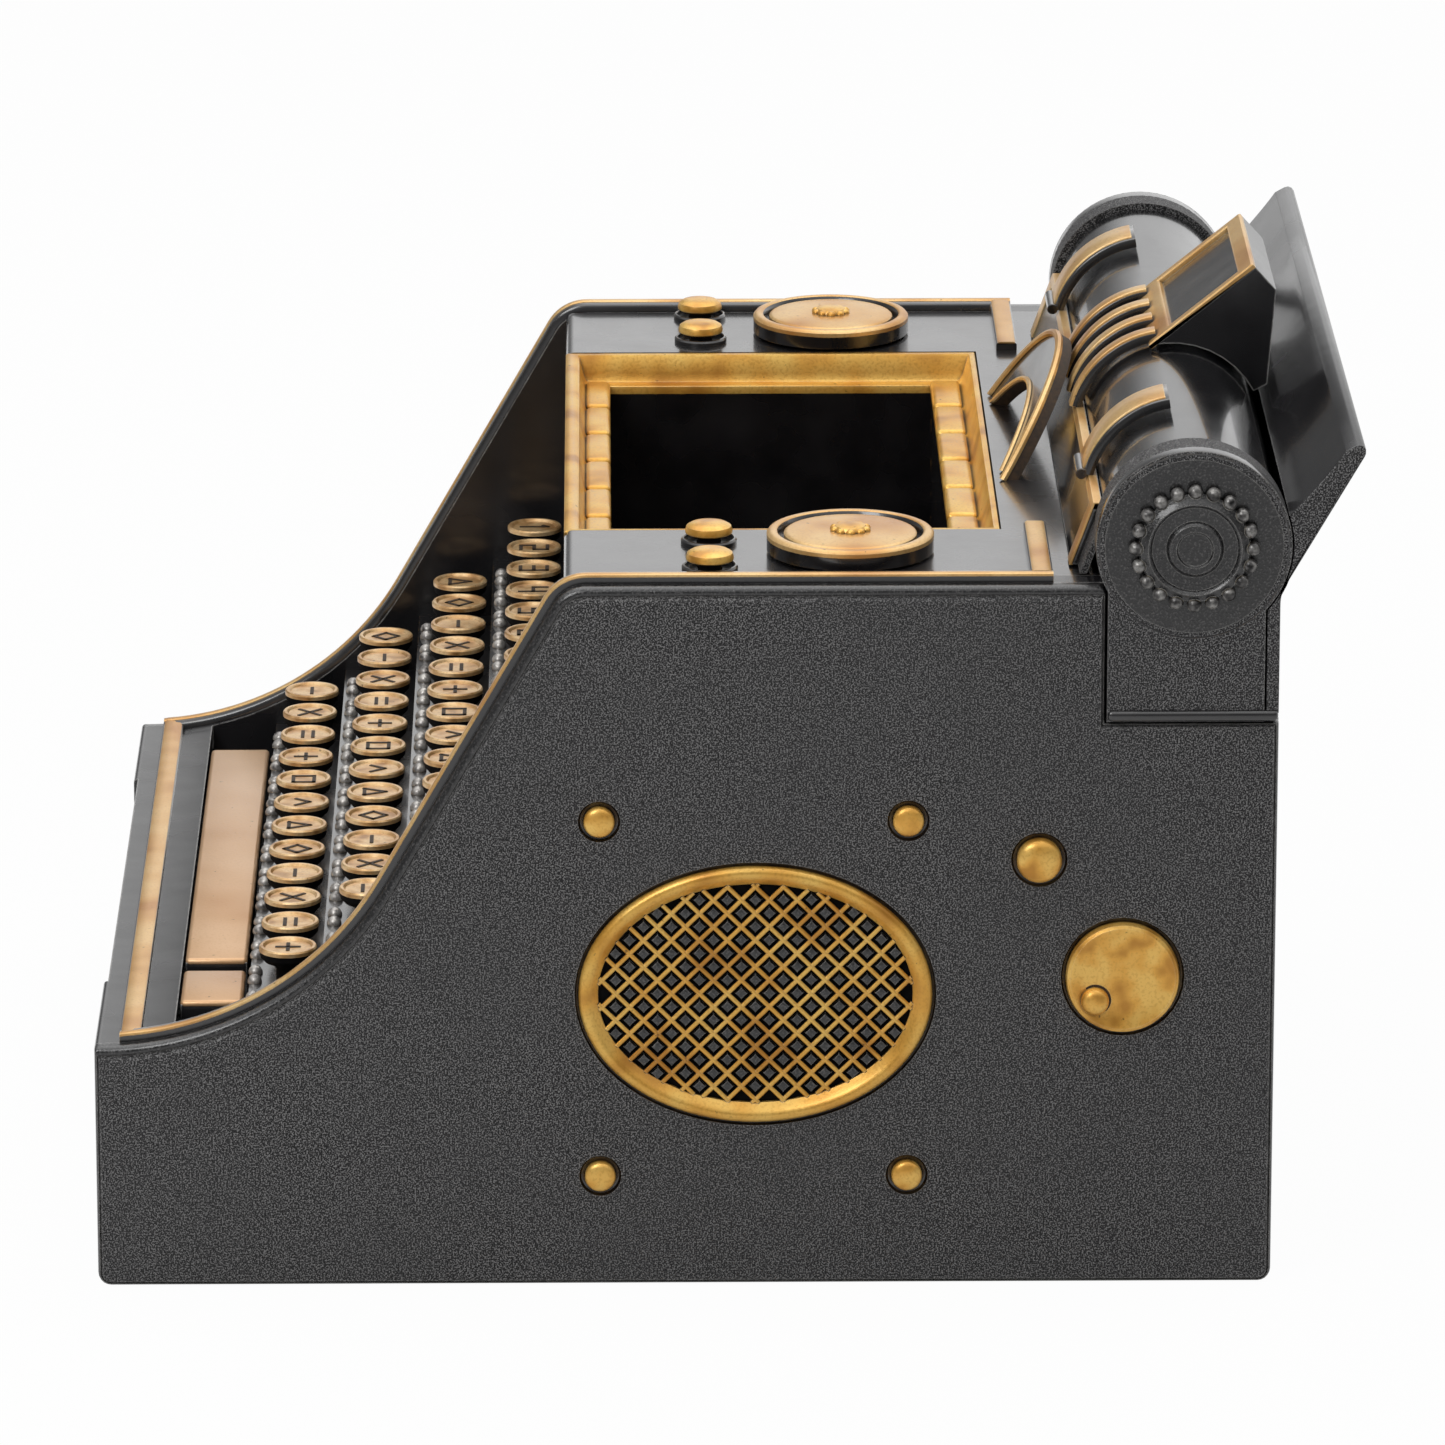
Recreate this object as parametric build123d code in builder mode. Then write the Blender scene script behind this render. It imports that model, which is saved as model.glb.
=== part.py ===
"""A desk typewriter: cast cabinet, stepped keyboard, type basket, ribbon spools and sliding carriage.

X runs to the typist's right, Y away from the typist and Z up. The origin is the middle of the
cabinet's footprint, on the desk. Sections across the machine are drawn on a side plane, where the
first coordinate is the distance behind the front edge and the second is the height.
"""
import math
import os

from build123d import *

os.makedirs("parts", exist_ok=True)

# Cabinet
width = 262.0
depth = 268.0
front_height = 57.3
deck_height = 165.3
slope_angle = 60.0
slope_head = 107.0
shelf_run = 1.345
shoulder_radius = 9.0
lip_radius = 0.9
foot_radius = 3.0
notch_front = depth - 39.2
notch_floor = deck_height - 31.8
panel_thickness = 4.0
panel_edge = 0.8
wall = 4.0
cheek_thickness = 6.0
base_thickness = 4.0
base_rib = 4.0
base_rib_height = 8.0
front_shelf = 18.0
front_recess = 1.0
front_cheek_width = 50.0
cover_thickness = 3.0
fit = 0.3

# Gold edge band
band_rise = 2.2
band_width = 5.0
band_front = 5.7
deck_band_front = notch_front - 16.8

# Type well
well_half_width = width / 2 - 49.4
well_rear = depth - 61.0
well_frame_wall = 2.0
well_ledge_drop = 6.6
well_ledge_width = 7.0
well_rear_ledge = 11.0
well_front_wall = 3.5
well_frame_depth = 8.6
liner_wall = 2.0
ledge_groove_pitch = 42.0
ledge_groove = 1.2

# Keyboard
key_columns = 12
key_rows = 4
single_key_rows = 1
key_pitch = (width - 34.0) / key_columns
row_pitch = 18.5
row_rise = 14.0
first_row = 43.5
first_tread = 59.5
tread_behind_key = 8.0
tread_thickness = 3.0
key_radius = 0.35 * key_pitch
key_sides = 16
key_cap_thickness = 4.0
key_height = 14.0
key_stem = 4.0
key_stem_below = 9.0
trough_floor = 45.0
bar_front = 18.6
bar_depth = 14.4
bar_top = 60.0
bar_height = 8.0
bar_edge_radius = 1.0
bar_stem_below = 6.0
space_bar_left = 33.4 - width / 2
space_bar_right = width / 2 - 58.0
shift_bar_left = space_bar_right + 8.0
shift_bar_right = width / 2 - 26.5

# Deck fittings
spool_x = width / 2 - 30.5
spool_y = depth - 96.0
spool_radius = 19.0
spool_rim_height = 5.2
spool_rim_width = 2.5
spool_disc_radius = 15.0
spool_nut_across = 7.0
spool_nut_height = 6.6
spool_shaft_radius = 3.0
ring_sides = 24
cup_radius = 18.5
cup_sides = 12
cup_depth = 26.0
cup_wall = 1.5
button_x = (width / 2 - 38.4, width / 2 - 15.6)
button_y = spool_y - 32.0
button_radius = 5.4
button_rise = 5.0
button_travel = 2.0
button_stem = 5.0
collar_radius = 6.4
collar_sides = 12
collar_height = 1.4
button_stem_below = 8.0

# Side fittings
grille_y = 150.1
grille_z = 69.7
grille_half_length = 40.1
grille_half_height = 30.4
grille_rim = 4.4
grille_proud = 1.5
lattice_pitch = 8.96
lattice_bar = 1.4
lattice_depth = 1.6
lattice_bar_height = 0.8
stud_radius = 3.5
stud_head = 2.0
stud_shank = 4.0
stud_sides = 12
stud_edge = 0.7
stud_low = 26.4
stud_high = 110.7
stud_front = 114.8
stud_rear = 184.6
side_button_y = depth - 53.8
side_button_z = 101.4
side_button_radius = 5.1
side_button_proud = 3.0
dial_y = depth - 34.7
dial_z = 73.6
dial_radius = 13.0
dial_proud = 2.0
dial_shaft_radius = 3.0
crank_y = -6.3
crank_z = -5.2
crank_radius = 3.5
crank_length = 2.4

# Type basket and guide
guide_half_width = 40.0
guide_rise = 28.9
guide_notch_rise = 14.3
guide_notch_half_width = 31.0
guide_lean = 31.3
guide_foot_y = depth - 59.1
guide_thickness = 3.2
basket_shift = 6.0
segment_radius = 30.0
segment_width = 8.0
segment_thickness = 8.0
segment_y = depth - 82.0
segment_z = deck_height - 69.3
segment_post = 5.0
guide_sleeve_height = 20.0
type_bar_count = 17
type_bar_length = 40.0
type_bar_thickness = 1.4
type_bar_height = 4.0
type_slug = 6.0

# Carriage
platen_y = depth - 19.7
platen_z = deck_height + 9.4
platen_radius = 20.5
platen_shaft_radius = 4.0
end_plate_radius = 22.0
carriage_x = 7.0
carriage_half_width = width / 2 - carriage_x
end_plate_inner = carriage_half_width - 12.0
beam_top = notch_floor + 13.5
beam_front = notch_front + 3.2
beam_rear = depth - 3.2
runner_half_length = 18.0
runner_neck = 8.0
runner_head = 16.0
runner_head_thickness = 4.0
rail_width = 7.0
rail_height = 5.0
rail_half_length = width / 2 - 13.0
carriage_travel = rail_half_length - 23.0
front_plate_foot_y = platen_y - 27.3
front_plate_foot_z = platen_z - 9.0
front_plate_lean = 20.0
front_plate_height = 15.6
front_plate_thickness = 2.0
front_plate_half_width = end_plate_inner - 5.0
bracket_thickness = 1.5
bracket_length = 15.0
bracket_overlap = 2.0
rest_rear = platen_y + 19.5
rest_foot = notch_floor + 1.5
rest_bend = platen_z - 11.2
rest_brow = platen_z + 20.7
rest_top = platen_z + 25.0
rest_lip = 5.6
rest_lip_drop = 3.1
rest_brow_run = 1.2
rest_front = platen_y + 19.3
rest_front_z = platen_z + 9.3
rest_middle_y = platen_y + 28.4
rest_middle_z = platen_z + 15.3
hood_half_width = 25.0
hood_face_foot_y = platen_y - 5.5
hood_face_foot_z = platen_z + 21.2
hood_face_head_y = platen_y + 18.5
hood_face_head_z = platen_z + 40.6
hood_back_head_y = platen_y + 24.1
hood_back_head_z = platen_z + 34.3
hood_back_foot_y = platen_y + 22.3
hood_field_border = 3.0
hood_field_depth = 0.8
rib_count = 4
rib_width = 5.0
rib_pitch = 13.4
finger_x = end_plate_inner - 35.5
finger_width = 14.0
wrap_inner_radius = 21.6
wrap_outer_radius = 24.3
wrap_head_angle = 99.0
hinge_radius = 1.3
knob_gap = 0.4
knob_thickness = 3.0
knob_bead_count = 20
knob_bead_radius = 1.7
knob_bead_sides = 6
knob_bead_circle = 13.1
knob_ring_radius = 10.6
knob_ring_depth = 0.8
knob_hub_radius = 5.75

# Derived places
inside_half_width = width / 2 - panel_thickness - cheek_thickness
cheek_outside = width / 2 - panel_thickness
sweep_corner = slope_head - (deck_height - front_height) / math.tan(math.radians(slope_angle))
sweep_radius = (sweep_corner - shelf_run) / math.tan(math.radians(slope_angle / 2))
front = -depth / 2
last_riser = first_row + tread_behind_key + (key_rows - 1) * row_pitch
last_tread = first_tread + (key_rows - 1) * row_rise
front_plate_top = front_plate_foot_z + front_plate_height * math.cos(math.radians(front_plate_lean))
wrap_foot = front_plate_top + fit
hinge_y = platen_y - math.sqrt(wrap_outer_radius**2 - (wrap_foot - platen_z) ** 2)
post_x = segment_radius - segment_width / 2
post_y = segment_y - 1.5 * segment_post


def side(x):
    """Plane across the machine at x: local x runs back from the front edge, local y runs up."""
    return Plane(origin=(x, front, 0), x_dir=(0, 1, 0), z_dir=(1, 0, 0))


def carriage_side(x):
    """Plane across the carriage at x from its own middle, drawn like a side plane."""
    return side(carriage_x + x)


def level(z):
    """Horizontal plane at height z, measured back from the front edge."""
    return Plane(origin=(0, front, z))


def cabinet_profile(plane):
    """Side outline of the cabinet: lip, swept curve, slope, deck and the carriage notch."""
    with BuildSketch(plane) as profile:
        with BuildLine():
            Polyline(
                (0, 0),
                (0, front_height),
                (sweep_corner, front_height),
                (slope_head, deck_height),
                (notch_front, deck_height),
                (notch_front, notch_floor),
                (depth, notch_floor),
                (depth, 0),
                close=True,
            )
        make_face()
        corners = (
            (sweep_corner, front_height, sweep_radius),
            (slope_head, deck_height, shoulder_radius),
            (0, front_height, lip_radius),
            (0, 0, foot_radius),
            (depth, 0, foot_radius),
        )
        for y, z, radius in corners:
            fillet(profile.vertices().sort_by_distance((y, z))[0], radius)
    return profile.sketch


def box_between(x_low, x_high, y_low, y_high, z_low, z_high, mode=Mode.ADD):
    """Block between two corners, with y measured from the front edge."""
    with Locations(((x_low + x_high) / 2, front + (y_low + y_high) / 2, (z_low + z_high) / 2)):
        Box(x_high - x_low, y_high - y_low, z_high - z_low, mode=mode)


# Cabinet: two cheeks, front wall with its shelf, and rear wall
with BuildPart() as cabinet:
    extrude(cabinet_profile(side(-cheek_outside)), amount=2 * cheek_outside)
    box_between(-inside_half_width, inside_half_width, front_shelf, depth - wall, 0, 2 * deck_height,
                Mode.SUBTRACT)
    box_between(-inside_half_width, inside_half_width, wall, front_shelf, 0, front_height - wall,
                Mode.SUBTRACT)
    panel_half = width / 2 - front_cheek_width
    box_between(-panel_half, panel_half, -front_recess, front_recess, foot_radius, 2 * front_height,
                Mode.SUBTRACT)
    with BuildSketch(side(cheek_outside)):
        with Locations((side_button_y, side_button_z)):
            Circle(side_button_radius + fit)
        with Locations((dial_y, dial_z)):
            Circle(dial_shaft_radius + fit)
    extrude(amount=-cheek_thickness, mode=Mode.SUBTRACT)
cabinet.part.label = "cabinet"
export_step(cabinet.part, "parts/cabinet.step")

# Base pan with two stiffening ribs and a guide sleeve for each post of the type basket
with BuildPart() as base_pan:
    box_between(-inside_half_width, inside_half_width, wall, depth - wall, 0, base_thickness)
    for rib_y in (first_row + row_pitch, last_riser):
        box_between(-inside_half_width, inside_half_width, rib_y - base_rib / 2, rib_y + base_rib / 2,
                    base_thickness, base_thickness + base_rib_height)
    for x in (-post_x, post_x):
        for mode, half in ((Mode.ADD, segment_post / 2 + wall), (Mode.SUBTRACT, segment_post / 2 + fit)):
            box_between(x - half, x + half, post_y - half, post_y + half, base_thickness,
                        base_thickness + guide_sleeve_height, mode)
base_pan.part.label = "base_pan"
export_step(base_pan.part, "parts/base_pan.step")


# Side panels, with seats for the grille, studs, button and dial
def stud_places():
    """The four studs around a grille, in side plane coordinates."""
    return [(y, z) for y in (stud_front, stud_rear) for z in (stud_low, stud_high)]


with BuildPart() as side_panel_left:
    extrude(cabinet_profile(side(-width / 2)), amount=panel_thickness)
    outside = side_panel_left.faces().sort_by(Axis.X)[0]
    chamfer(outside.outer_wire().edges(), panel_edge)
    with BuildSketch(side(-width / 2)):
        with Locations((grille_y, grille_z)):
            Ellipse(grille_half_length + fit, grille_half_height + fit)
        with Locations(*stud_places()):
            Rectangle(stud_shank + 2 * fit, stud_shank + 2 * fit)
    extrude(amount=panel_thickness, mode=Mode.SUBTRACT)
side_panel_left.part.label = "side_panel_left"
export_step(side_panel_left.part, "parts/side_panel_left.step")

with BuildPart() as side_panel_right:
    add(mirror(side_panel_left.part, about=Plane.YZ))
    with BuildSketch(side(width / 2)):
        with Locations((side_button_y, side_button_z)):
            Circle(side_button_radius + fit)
        with Locations((dial_y, dial_z)):
            Circle(dial_radius + fit)
    extrude(amount=-panel_thickness, mode=Mode.SUBTRACT)
side_panel_right.part.label = "side_panel_right"
export_step(side_panel_right.part, "parts/side_panel_right.step")

# Top cover: front skirt, decks, bridge behind the well, back skirt and carriage floor
with BuildPart() as top_cover:
    with BuildSketch(side(-inside_half_width)) as cover_section:
        with BuildLine():
            Polyline(
                (slope_head, last_tread),
                (slope_head, deck_height),
                (notch_front, deck_height),
                (notch_front, notch_floor),
                (depth - wall, notch_floor),
                (depth - wall, notch_floor - cover_thickness),
                (notch_front - cover_thickness, notch_floor - cover_thickness),
                (notch_front - cover_thickness, deck_height - cover_thickness),
                (slope_head + cover_thickness, deck_height - cover_thickness),
                (slope_head + cover_thickness, last_tread),
                close=True,
            )
        make_face()
        fillet(cover_section.vertices().sort_by_distance((slope_head, deck_height))[0], 2.0)
    extrude(amount=2 * inside_half_width)
    box_between(-well_half_width, well_half_width, slope_head - 1, well_rear,
                deck_height - well_frame_depth, deck_height + 1, Mode.SUBTRACT)
    with BuildSketch(level(deck_height)):
        with Locations((-spool_x, spool_y), (spool_x, spool_y)):
            Circle(spool_shaft_radius + fit)
        for x in button_x:
            with Locations((-x, button_y), (x, button_y)):
                Rectangle(button_stem + 2 * fit, button_stem + 2 * fit)
    extrude(amount=-cover_thickness, mode=Mode.SUBTRACT)
    slot_half = runner_half_length + carriage_travel + 1
    slot_middle = (beam_front + beam_rear) / 2
    box_between(-slot_half, slot_half, slot_middle - runner_neck / 2 - fit,
                slot_middle + runner_neck / 2 + fit, notch_floor - cover_thickness, notch_floor,
                Mode.SUBTRACT)
top_cover.part.label = "top_cover"
export_step(top_cover.part, "parts/top_cover.step")

def band_section(plane, rear):
    """Strip that lies on the cabinet's outline, from the front band back to rear."""
    with BuildSketch(plane) as band:
        add(cabinet_profile(Plane.XY))
        offset(amount=band_rise, kind=Kind.INTERSECTION)
        add(cabinet_profile(Plane.XY), mode=Mode.SUBTRACT)
        with Locations((band_front, front_height)):
            Rectangle(rear - band_front, deck_height, align=(Align.MIN, Align.MIN),
                      mode=Mode.INTERSECT)
    return band.sketch


# Gold band along the cheeks, across the front shelf and across the rear of each deck
with BuildPart() as edge_trim:
    band_rear = deck_band_front + band_width
    for x_low in (-cheek_outside, cheek_outside - band_width):
        extrude(band_section(side(x_low), band_rear), amount=band_width)
    extrude(band_section(side(-cheek_outside), band_front + band_width), amount=2 * cheek_outside)
    deck_band_half = cheek_outside - band_width
    for x_low, x_high in ((-deck_band_half, -well_half_width), (well_half_width, deck_band_half)):
        box_between(x_low, x_high, deck_band_front, band_rear, deck_height, deck_height + band_rise)
edge_trim.part.label = "edge_trim"
export_step(edge_trim.part, "parts/edge_trim.step")

# Well frame: an angle-section frame with a grooved ledge
with BuildPart() as well_frame:
    well_edge = well_half_width - fit / 2
    ledge_top = deck_height - well_ledge_drop
    well_front_inside = slope_head + well_front_wall
    opening_front = well_front_inside + well_ledge_width
    opening_rear = well_rear - well_rear_ledge
    opening_half = well_edge - well_ledge_width
    box_between(-well_edge, well_edge, slope_head, well_rear - fit / 2,
                deck_height - well_frame_depth, deck_height)
    box_between(-well_edge + well_frame_wall, well_edge - well_frame_wall, well_front_inside,
                well_rear - well_frame_wall, ledge_top, deck_height, Mode.SUBTRACT)
    box_between(-opening_half, opening_half, opening_front, opening_rear,
                deck_height - well_frame_depth, deck_height, Mode.SUBTRACT)
    with BuildSketch(level(ledge_top)):
        with GridLocations(ledge_groove_pitch, 0, 3, 1):
            with Locations((0, (slope_head + well_rear) / 2)):
                Rectangle(ledge_groove, well_rear - slope_head - 2 * well_front_wall)
        with Locations((0, (opening_front + opening_rear) / 2)):
            with GridLocations(0, ledge_groove_pitch, 1, 2):
                Rectangle(2 * (well_edge - well_frame_wall), ledge_groove)
    extrude(amount=-ledge_groove / 2, mode=Mode.SUBTRACT)
well_frame.part.label = "well_frame"
export_step(well_frame.part, "parts/well_frame.step")

# Well liner: four black walls from the base pan up to the well frame
with BuildPart() as well_liner:
    liner_top = deck_height - well_frame_depth
    box_between(-opening_half - liner_wall, opening_half + liner_wall, opening_front - liner_wall,
                opening_rear + liner_wall, base_thickness, liner_top)
    box_between(-opening_half, opening_half, opening_front, opening_rear, base_thickness, liner_top,
                Mode.SUBTRACT)
well_liner.part.label = "well_liner"
export_step(well_liner.part, "parts/well_liner.step")


# Key bed: a stepped sheet with a trough for the bars and a guide hole under each key
def key_places(row):
    """Centres of one row's keys on a level plane."""
    y = first_row + row * row_pitch
    return [((column - (key_columns - 1) / 2) * key_pitch, y) for column in range(key_columns)]


def stair_points(drop):
    """Treads and risers from the trough up to the last row, moved down and back by drop."""
    points = [(front_shelf + (drop and fit), trough_floor - drop)]
    riser = first_row - row_pitch + tread_behind_key + 1
    for row in range(key_rows):
        tread = first_tread + row * row_rise
        below = trough_floor if row == 0 else tread - row_rise
        points += [(riser + drop, below - drop), (riser + drop, tread - drop)]
        riser = first_row + row * row_pitch + tread_behind_key
    return points


bar_middle = bar_front + bar_depth / 2
bars = ((space_bar_left, space_bar_right), (shift_bar_left, shift_bar_right))


def bar_stem_places(left, right):
    """One stem near each end of a bar, or one in the middle of a short bar."""
    if right - left < 3 * key_pitch:
        return [((left + right) / 2, bar_middle)]
    return [(left + key_pitch, bar_middle), (right - key_pitch, bar_middle)]


with BuildPart() as key_bed:
    with BuildSketch(side(-inside_half_width)):
        with BuildLine():
            top = stair_points(0) + [(slope_head, last_tread)]
            under = stair_points(tread_thickness) + [(slope_head, last_tread - tread_thickness)]
            Polyline(*top, *reversed(under), close=True)
        make_face()
    extrude(amount=2 * inside_half_width)
    with BuildSketch(level(trough_floor)):
        for left, right in bars:
            with Locations(*bar_stem_places(left, right)):
                Rectangle(key_stem + 2 * fit, key_stem + 2 * fit)
    extrude(amount=-tread_thickness, mode=Mode.SUBTRACT)
    for row in range(key_rows):
        with BuildSketch(level(first_tread + row * row_rise)):
            with Locations(*key_places(row)):
                Rectangle(key_stem + 2 * fit, key_stem + 2 * fit)
        extrude(amount=-tread_thickness, mode=Mode.SUBTRACT)
key_bed.part.label = "key_bed"
export_step(key_bed.part, "parts/key_bed.step")


# Keys: a many-sided cap, near enough round at this size, on a square stem in its guide hole
def keys_at(row, places):
    """Keys of one row at the given places."""
    tread = first_tread + row * row_rise
    with BuildSketch(level(tread + key_height)) as caps:
        with Locations(*places):
            RegularPolygon(key_radius, key_sides)
    extrude(caps.sketch, amount=-key_cap_thickness)
    with BuildSketch(level(tread + key_height - key_cap_thickness)) as stems:
        with Locations(*places):
            Rectangle(key_stem, key_stem)
    extrude(stems.sketch, amount=-(key_height - key_cap_thickness + key_stem_below))


for row in range(key_rows):
    if row < single_key_rows:
        for column, place in enumerate(key_places(row)):
            with BuildPart() as key:
                keys_at(row, [place])
            key.part.label = f"key_{row + 1}_{column + 1:02d}"
            export_step(key.part, f"parts/key_{row + 1}_{column + 1:02d}.step")
    else:
        with BuildPart() as row_of_keys:
            keys_at(row, key_places(row))
        row_of_keys.part.label = f"key_row_{row + 1}"
        export_step(row_of_keys.part, f"parts/key_row_{row + 1}.step")

# Space bar and shift bar on square stems
for name, (left, right) in zip(("space_bar", "shift_bar"), bars):
    with BuildPart() as bar:
        box_between(left, right, bar_front, bar_front + bar_depth, bar_top - bar_height, bar_top)
        fillet(bar.faces().sort_by(Axis.Z)[-1].edges(), bar_edge_radius)
        with BuildSketch(level(bar_top - bar_height)):
            with Locations(*bar_stem_places(left, right)):
                Rectangle(key_stem, key_stem)
        extrude(amount=-(bar_top - bar_height - trough_floor + tread_thickness + bar_stem_below))
    bar.part.label = name
    export_step(bar.part, f"parts/{name}.step")

# Ribbon spool cups under the decks, folded from sheet with many sides
with BuildPart() as spool_cups:
    with BuildSketch(level(deck_height - cover_thickness)):
        with Locations((-spool_x, spool_y), (spool_x, spool_y)):
            RegularPolygon(cup_radius, cup_sides)
    extrude(amount=-cup_depth)
    with BuildSketch(level(deck_height - cover_thickness)):
        with Locations((-spool_x, spool_y), (spool_x, spool_y)):
            RegularPolygon(cup_radius - cup_wall, cup_sides)
    extrude(amount=-cup_depth + cup_wall, mode=Mode.SUBTRACT)
spool_cups.part.label = "spool_cups"
export_step(spool_cups.part, "parts/spool_cups.step")

# Ribbon spools: a drum with a raised rim, a disc with a hexagon nut, and a shaft into the cup
for name, x in (("spool_left", -spool_x), ("spool_right", spool_x)):
    with BuildPart() as spool:
        with BuildSketch(level(deck_height + fit)):
            with Locations((x, spool_y)):
                Circle(spool_radius)
        extrude(amount=spool_rim_height - fit)
        with BuildSketch(level(deck_height + spool_rim_height)):
            with Locations((x, spool_y)):
                RegularPolygon(spool_radius - spool_rim_width, ring_sides)
                RegularPolygon(spool_disc_radius, ring_sides, mode=Mode.SUBTRACT)
        extrude(amount=-spool_rim_width, mode=Mode.SUBTRACT)
        with BuildSketch(level(deck_height + spool_rim_height)):
            with Locations((x, spool_y)):
                RegularPolygon(spool_nut_across / 2, 6, major_radius=False)
        extrude(amount=spool_nut_height - spool_rim_height)
        with BuildSketch(level(deck_height + fit)):
            with Locations((x, spool_y)):
                Circle(spool_shaft_radius)
        extrude(amount=-(cover_thickness + cup_depth - 2 * cup_wall))
    spool.part.label = name
    export_step(spool.part, f"parts/{name}.step")

# Collars round the deck buttons, many-sided like the keys
with BuildPart() as button_collars:
    with BuildSketch(level(deck_height)):
        for x in button_x:
            with Locations((-x, button_y), (x, button_y)):
                RegularPolygon(collar_radius, collar_sides)
                RegularPolygon(button_radius + fit, collar_sides, major_radius=False, mode=Mode.SUBTRACT)
    extrude(amount=collar_height)
button_collars.part.label = "button_collars"
export_step(button_collars.part, "parts/button_collars.step")

# Deck buttons, each on a square stem through the deck
button_places = (-button_x[1], -button_x[0], button_x[0], button_x[1])
for number, x in enumerate(button_places, start=1):
    with BuildPart() as deck_button:
        with BuildSketch(level(deck_height + button_travel + fit)):
            with Locations((x, button_y)):
                Circle(button_radius)
        extrude(amount=button_rise - button_travel - fit)
        with BuildSketch(level(deck_height + button_travel + fit)):
            with Locations((x, button_y)):
                Rectangle(button_stem, button_stem)
        extrude(amount=-(button_travel + cover_thickness + button_stem_below))
    deck_button.part.label = f"deck_button_{number}"
    export_step(deck_button.part, f"parts/deck_button_{number}.step")

# Oval side grilles: a raised rim round a sunk field with two layers of crossed main bars
with BuildPart() as grille_right:
    with BuildSketch(side(cheek_outside)):
        with Locations((grille_y, grille_z)):
            Ellipse(grille_half_length, grille_half_height)
    extrude(amount=panel_thickness + grille_proud)
    inner_half_length = grille_half_length - grille_rim
    inner_half_height = grille_half_height - grille_rim
    with BuildSketch(side(width / 2 + grille_proud)):
        with Locations((grille_y, grille_z)):
            Ellipse(inner_half_length, inner_half_height)
    extrude(amount=-(grille_proud + lattice_depth), mode=Mode.SUBTRACT)
    bar_half_count = math.floor(inner_half_length / lattice_pitch)
    for layer, angle in enumerate((-45, 45)):
        with BuildSketch(side(width / 2 - lattice_depth + layer * lattice_bar_height)):
            for number in range(-bar_half_count, bar_half_count + 1):
                with Locations(Location((grille_y, grille_z), angle)):
                    with Locations((0, number * lattice_pitch)):
                        Rectangle(2 * grille_half_length, lattice_bar)
            with Locations((grille_y, grille_z)):
                Ellipse(inner_half_length, inner_half_height, mode=Mode.INTERSECT)
        extrude(amount=lattice_bar_height)
grille_right.part.label = "grille_right"
export_step(grille_right.part, "parts/grille_right.step")

with BuildPart() as grille_left:
    add(mirror(grille_right.part, about=Plane.YZ), clean=False)
grille_left.part.label = "grille_left"
export_step(grille_left.part, "parts/grille_left.step")

# Studs that hold the side panels: a chamfered head on a square shank
with BuildPart() as side_studs:
    with BuildSketch(side(width / 2)):
        with Locations(*stud_places()):
            RegularPolygon(stud_radius, stud_sides)
    extrude(amount=stud_head)
    chamfer(side_studs.faces().group_by(Axis.X)[-1].edges(), stud_edge)
    with BuildSketch(side(width / 2)):
        with Locations(*stud_places()):
            Rectangle(stud_shank, stud_shank)
    extrude(amount=-panel_thickness)
    mirror(about=Plane.YZ)
side_studs.part.label = "side_studs"
export_step(side_studs.part, "parts/side_studs.step")

# Side button and side dial with its crank pin
with BuildPart() as side_button:
    with BuildSketch(side(width / 2 + side_button_proud)):
        with Locations((side_button_y, side_button_z)):
            Circle(side_button_radius)
    extrude(amount=-(side_button_proud + panel_thickness + cheek_thickness))
    chamfer(side_button.faces().sort_by(Axis.X)[-1].edges(), stud_edge)
side_button.part.label = "side_button"
export_step(side_button.part, "parts/side_button.step")

with BuildPart() as side_dial:
    with BuildSketch(side(cheek_outside + fit)):
        with Locations((dial_y, dial_z)):
            Circle(dial_radius)
    extrude(amount=panel_thickness + dial_proud - fit)
    with BuildSketch(side(width / 2 + dial_proud)):
        with Locations((dial_y + crank_y, dial_z + crank_z)):
            RegularPolygon(crank_radius, stud_sides)
    extrude(amount=crank_length)
    with BuildSketch(side(cheek_outside + fit)):
        with Locations((dial_y, dial_z)):
            Circle(dial_shaft_radius)
    extrude(amount=-cheek_thickness)
side_dial.part.label = "side_dial"
export_step(side_dial.part, "parts/side_dial.step")

# Type guide: a crescent that leans back from the rear of the well
guide_plane = Plane(
    origin=(0, front + guide_foot_y, deck_height),
    x_dir=(1, 0, 0),
    z_dir=(0, -math.cos(math.radians(guide_lean)), math.sin(math.radians(guide_lean))),
)
with BuildPart() as type_guide:
    with BuildSketch(guide_plane):
        with BuildLine():
            ThreePointArc((-guide_half_width, 0), (0, guide_rise), (guide_half_width, 0))
            Line((guide_half_width, 0), (guide_notch_half_width, 0))
            ThreePointArc((guide_notch_half_width, 0), (0, guide_notch_rise),
                          (-guide_notch_half_width, 0))
            Line((-guide_notch_half_width, 0), (-guide_half_width, 0))
        make_face()
    extrude(amount=-guide_thickness)
    box_between(-guide_half_width, guide_half_width, guide_foot_y, notch_front,
                deck_height - guide_thickness, deck_height, Mode.SUBTRACT)
type_guide.part.label = "type_guide"
export_step(type_guide.part, "parts/type_guide.step")

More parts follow.
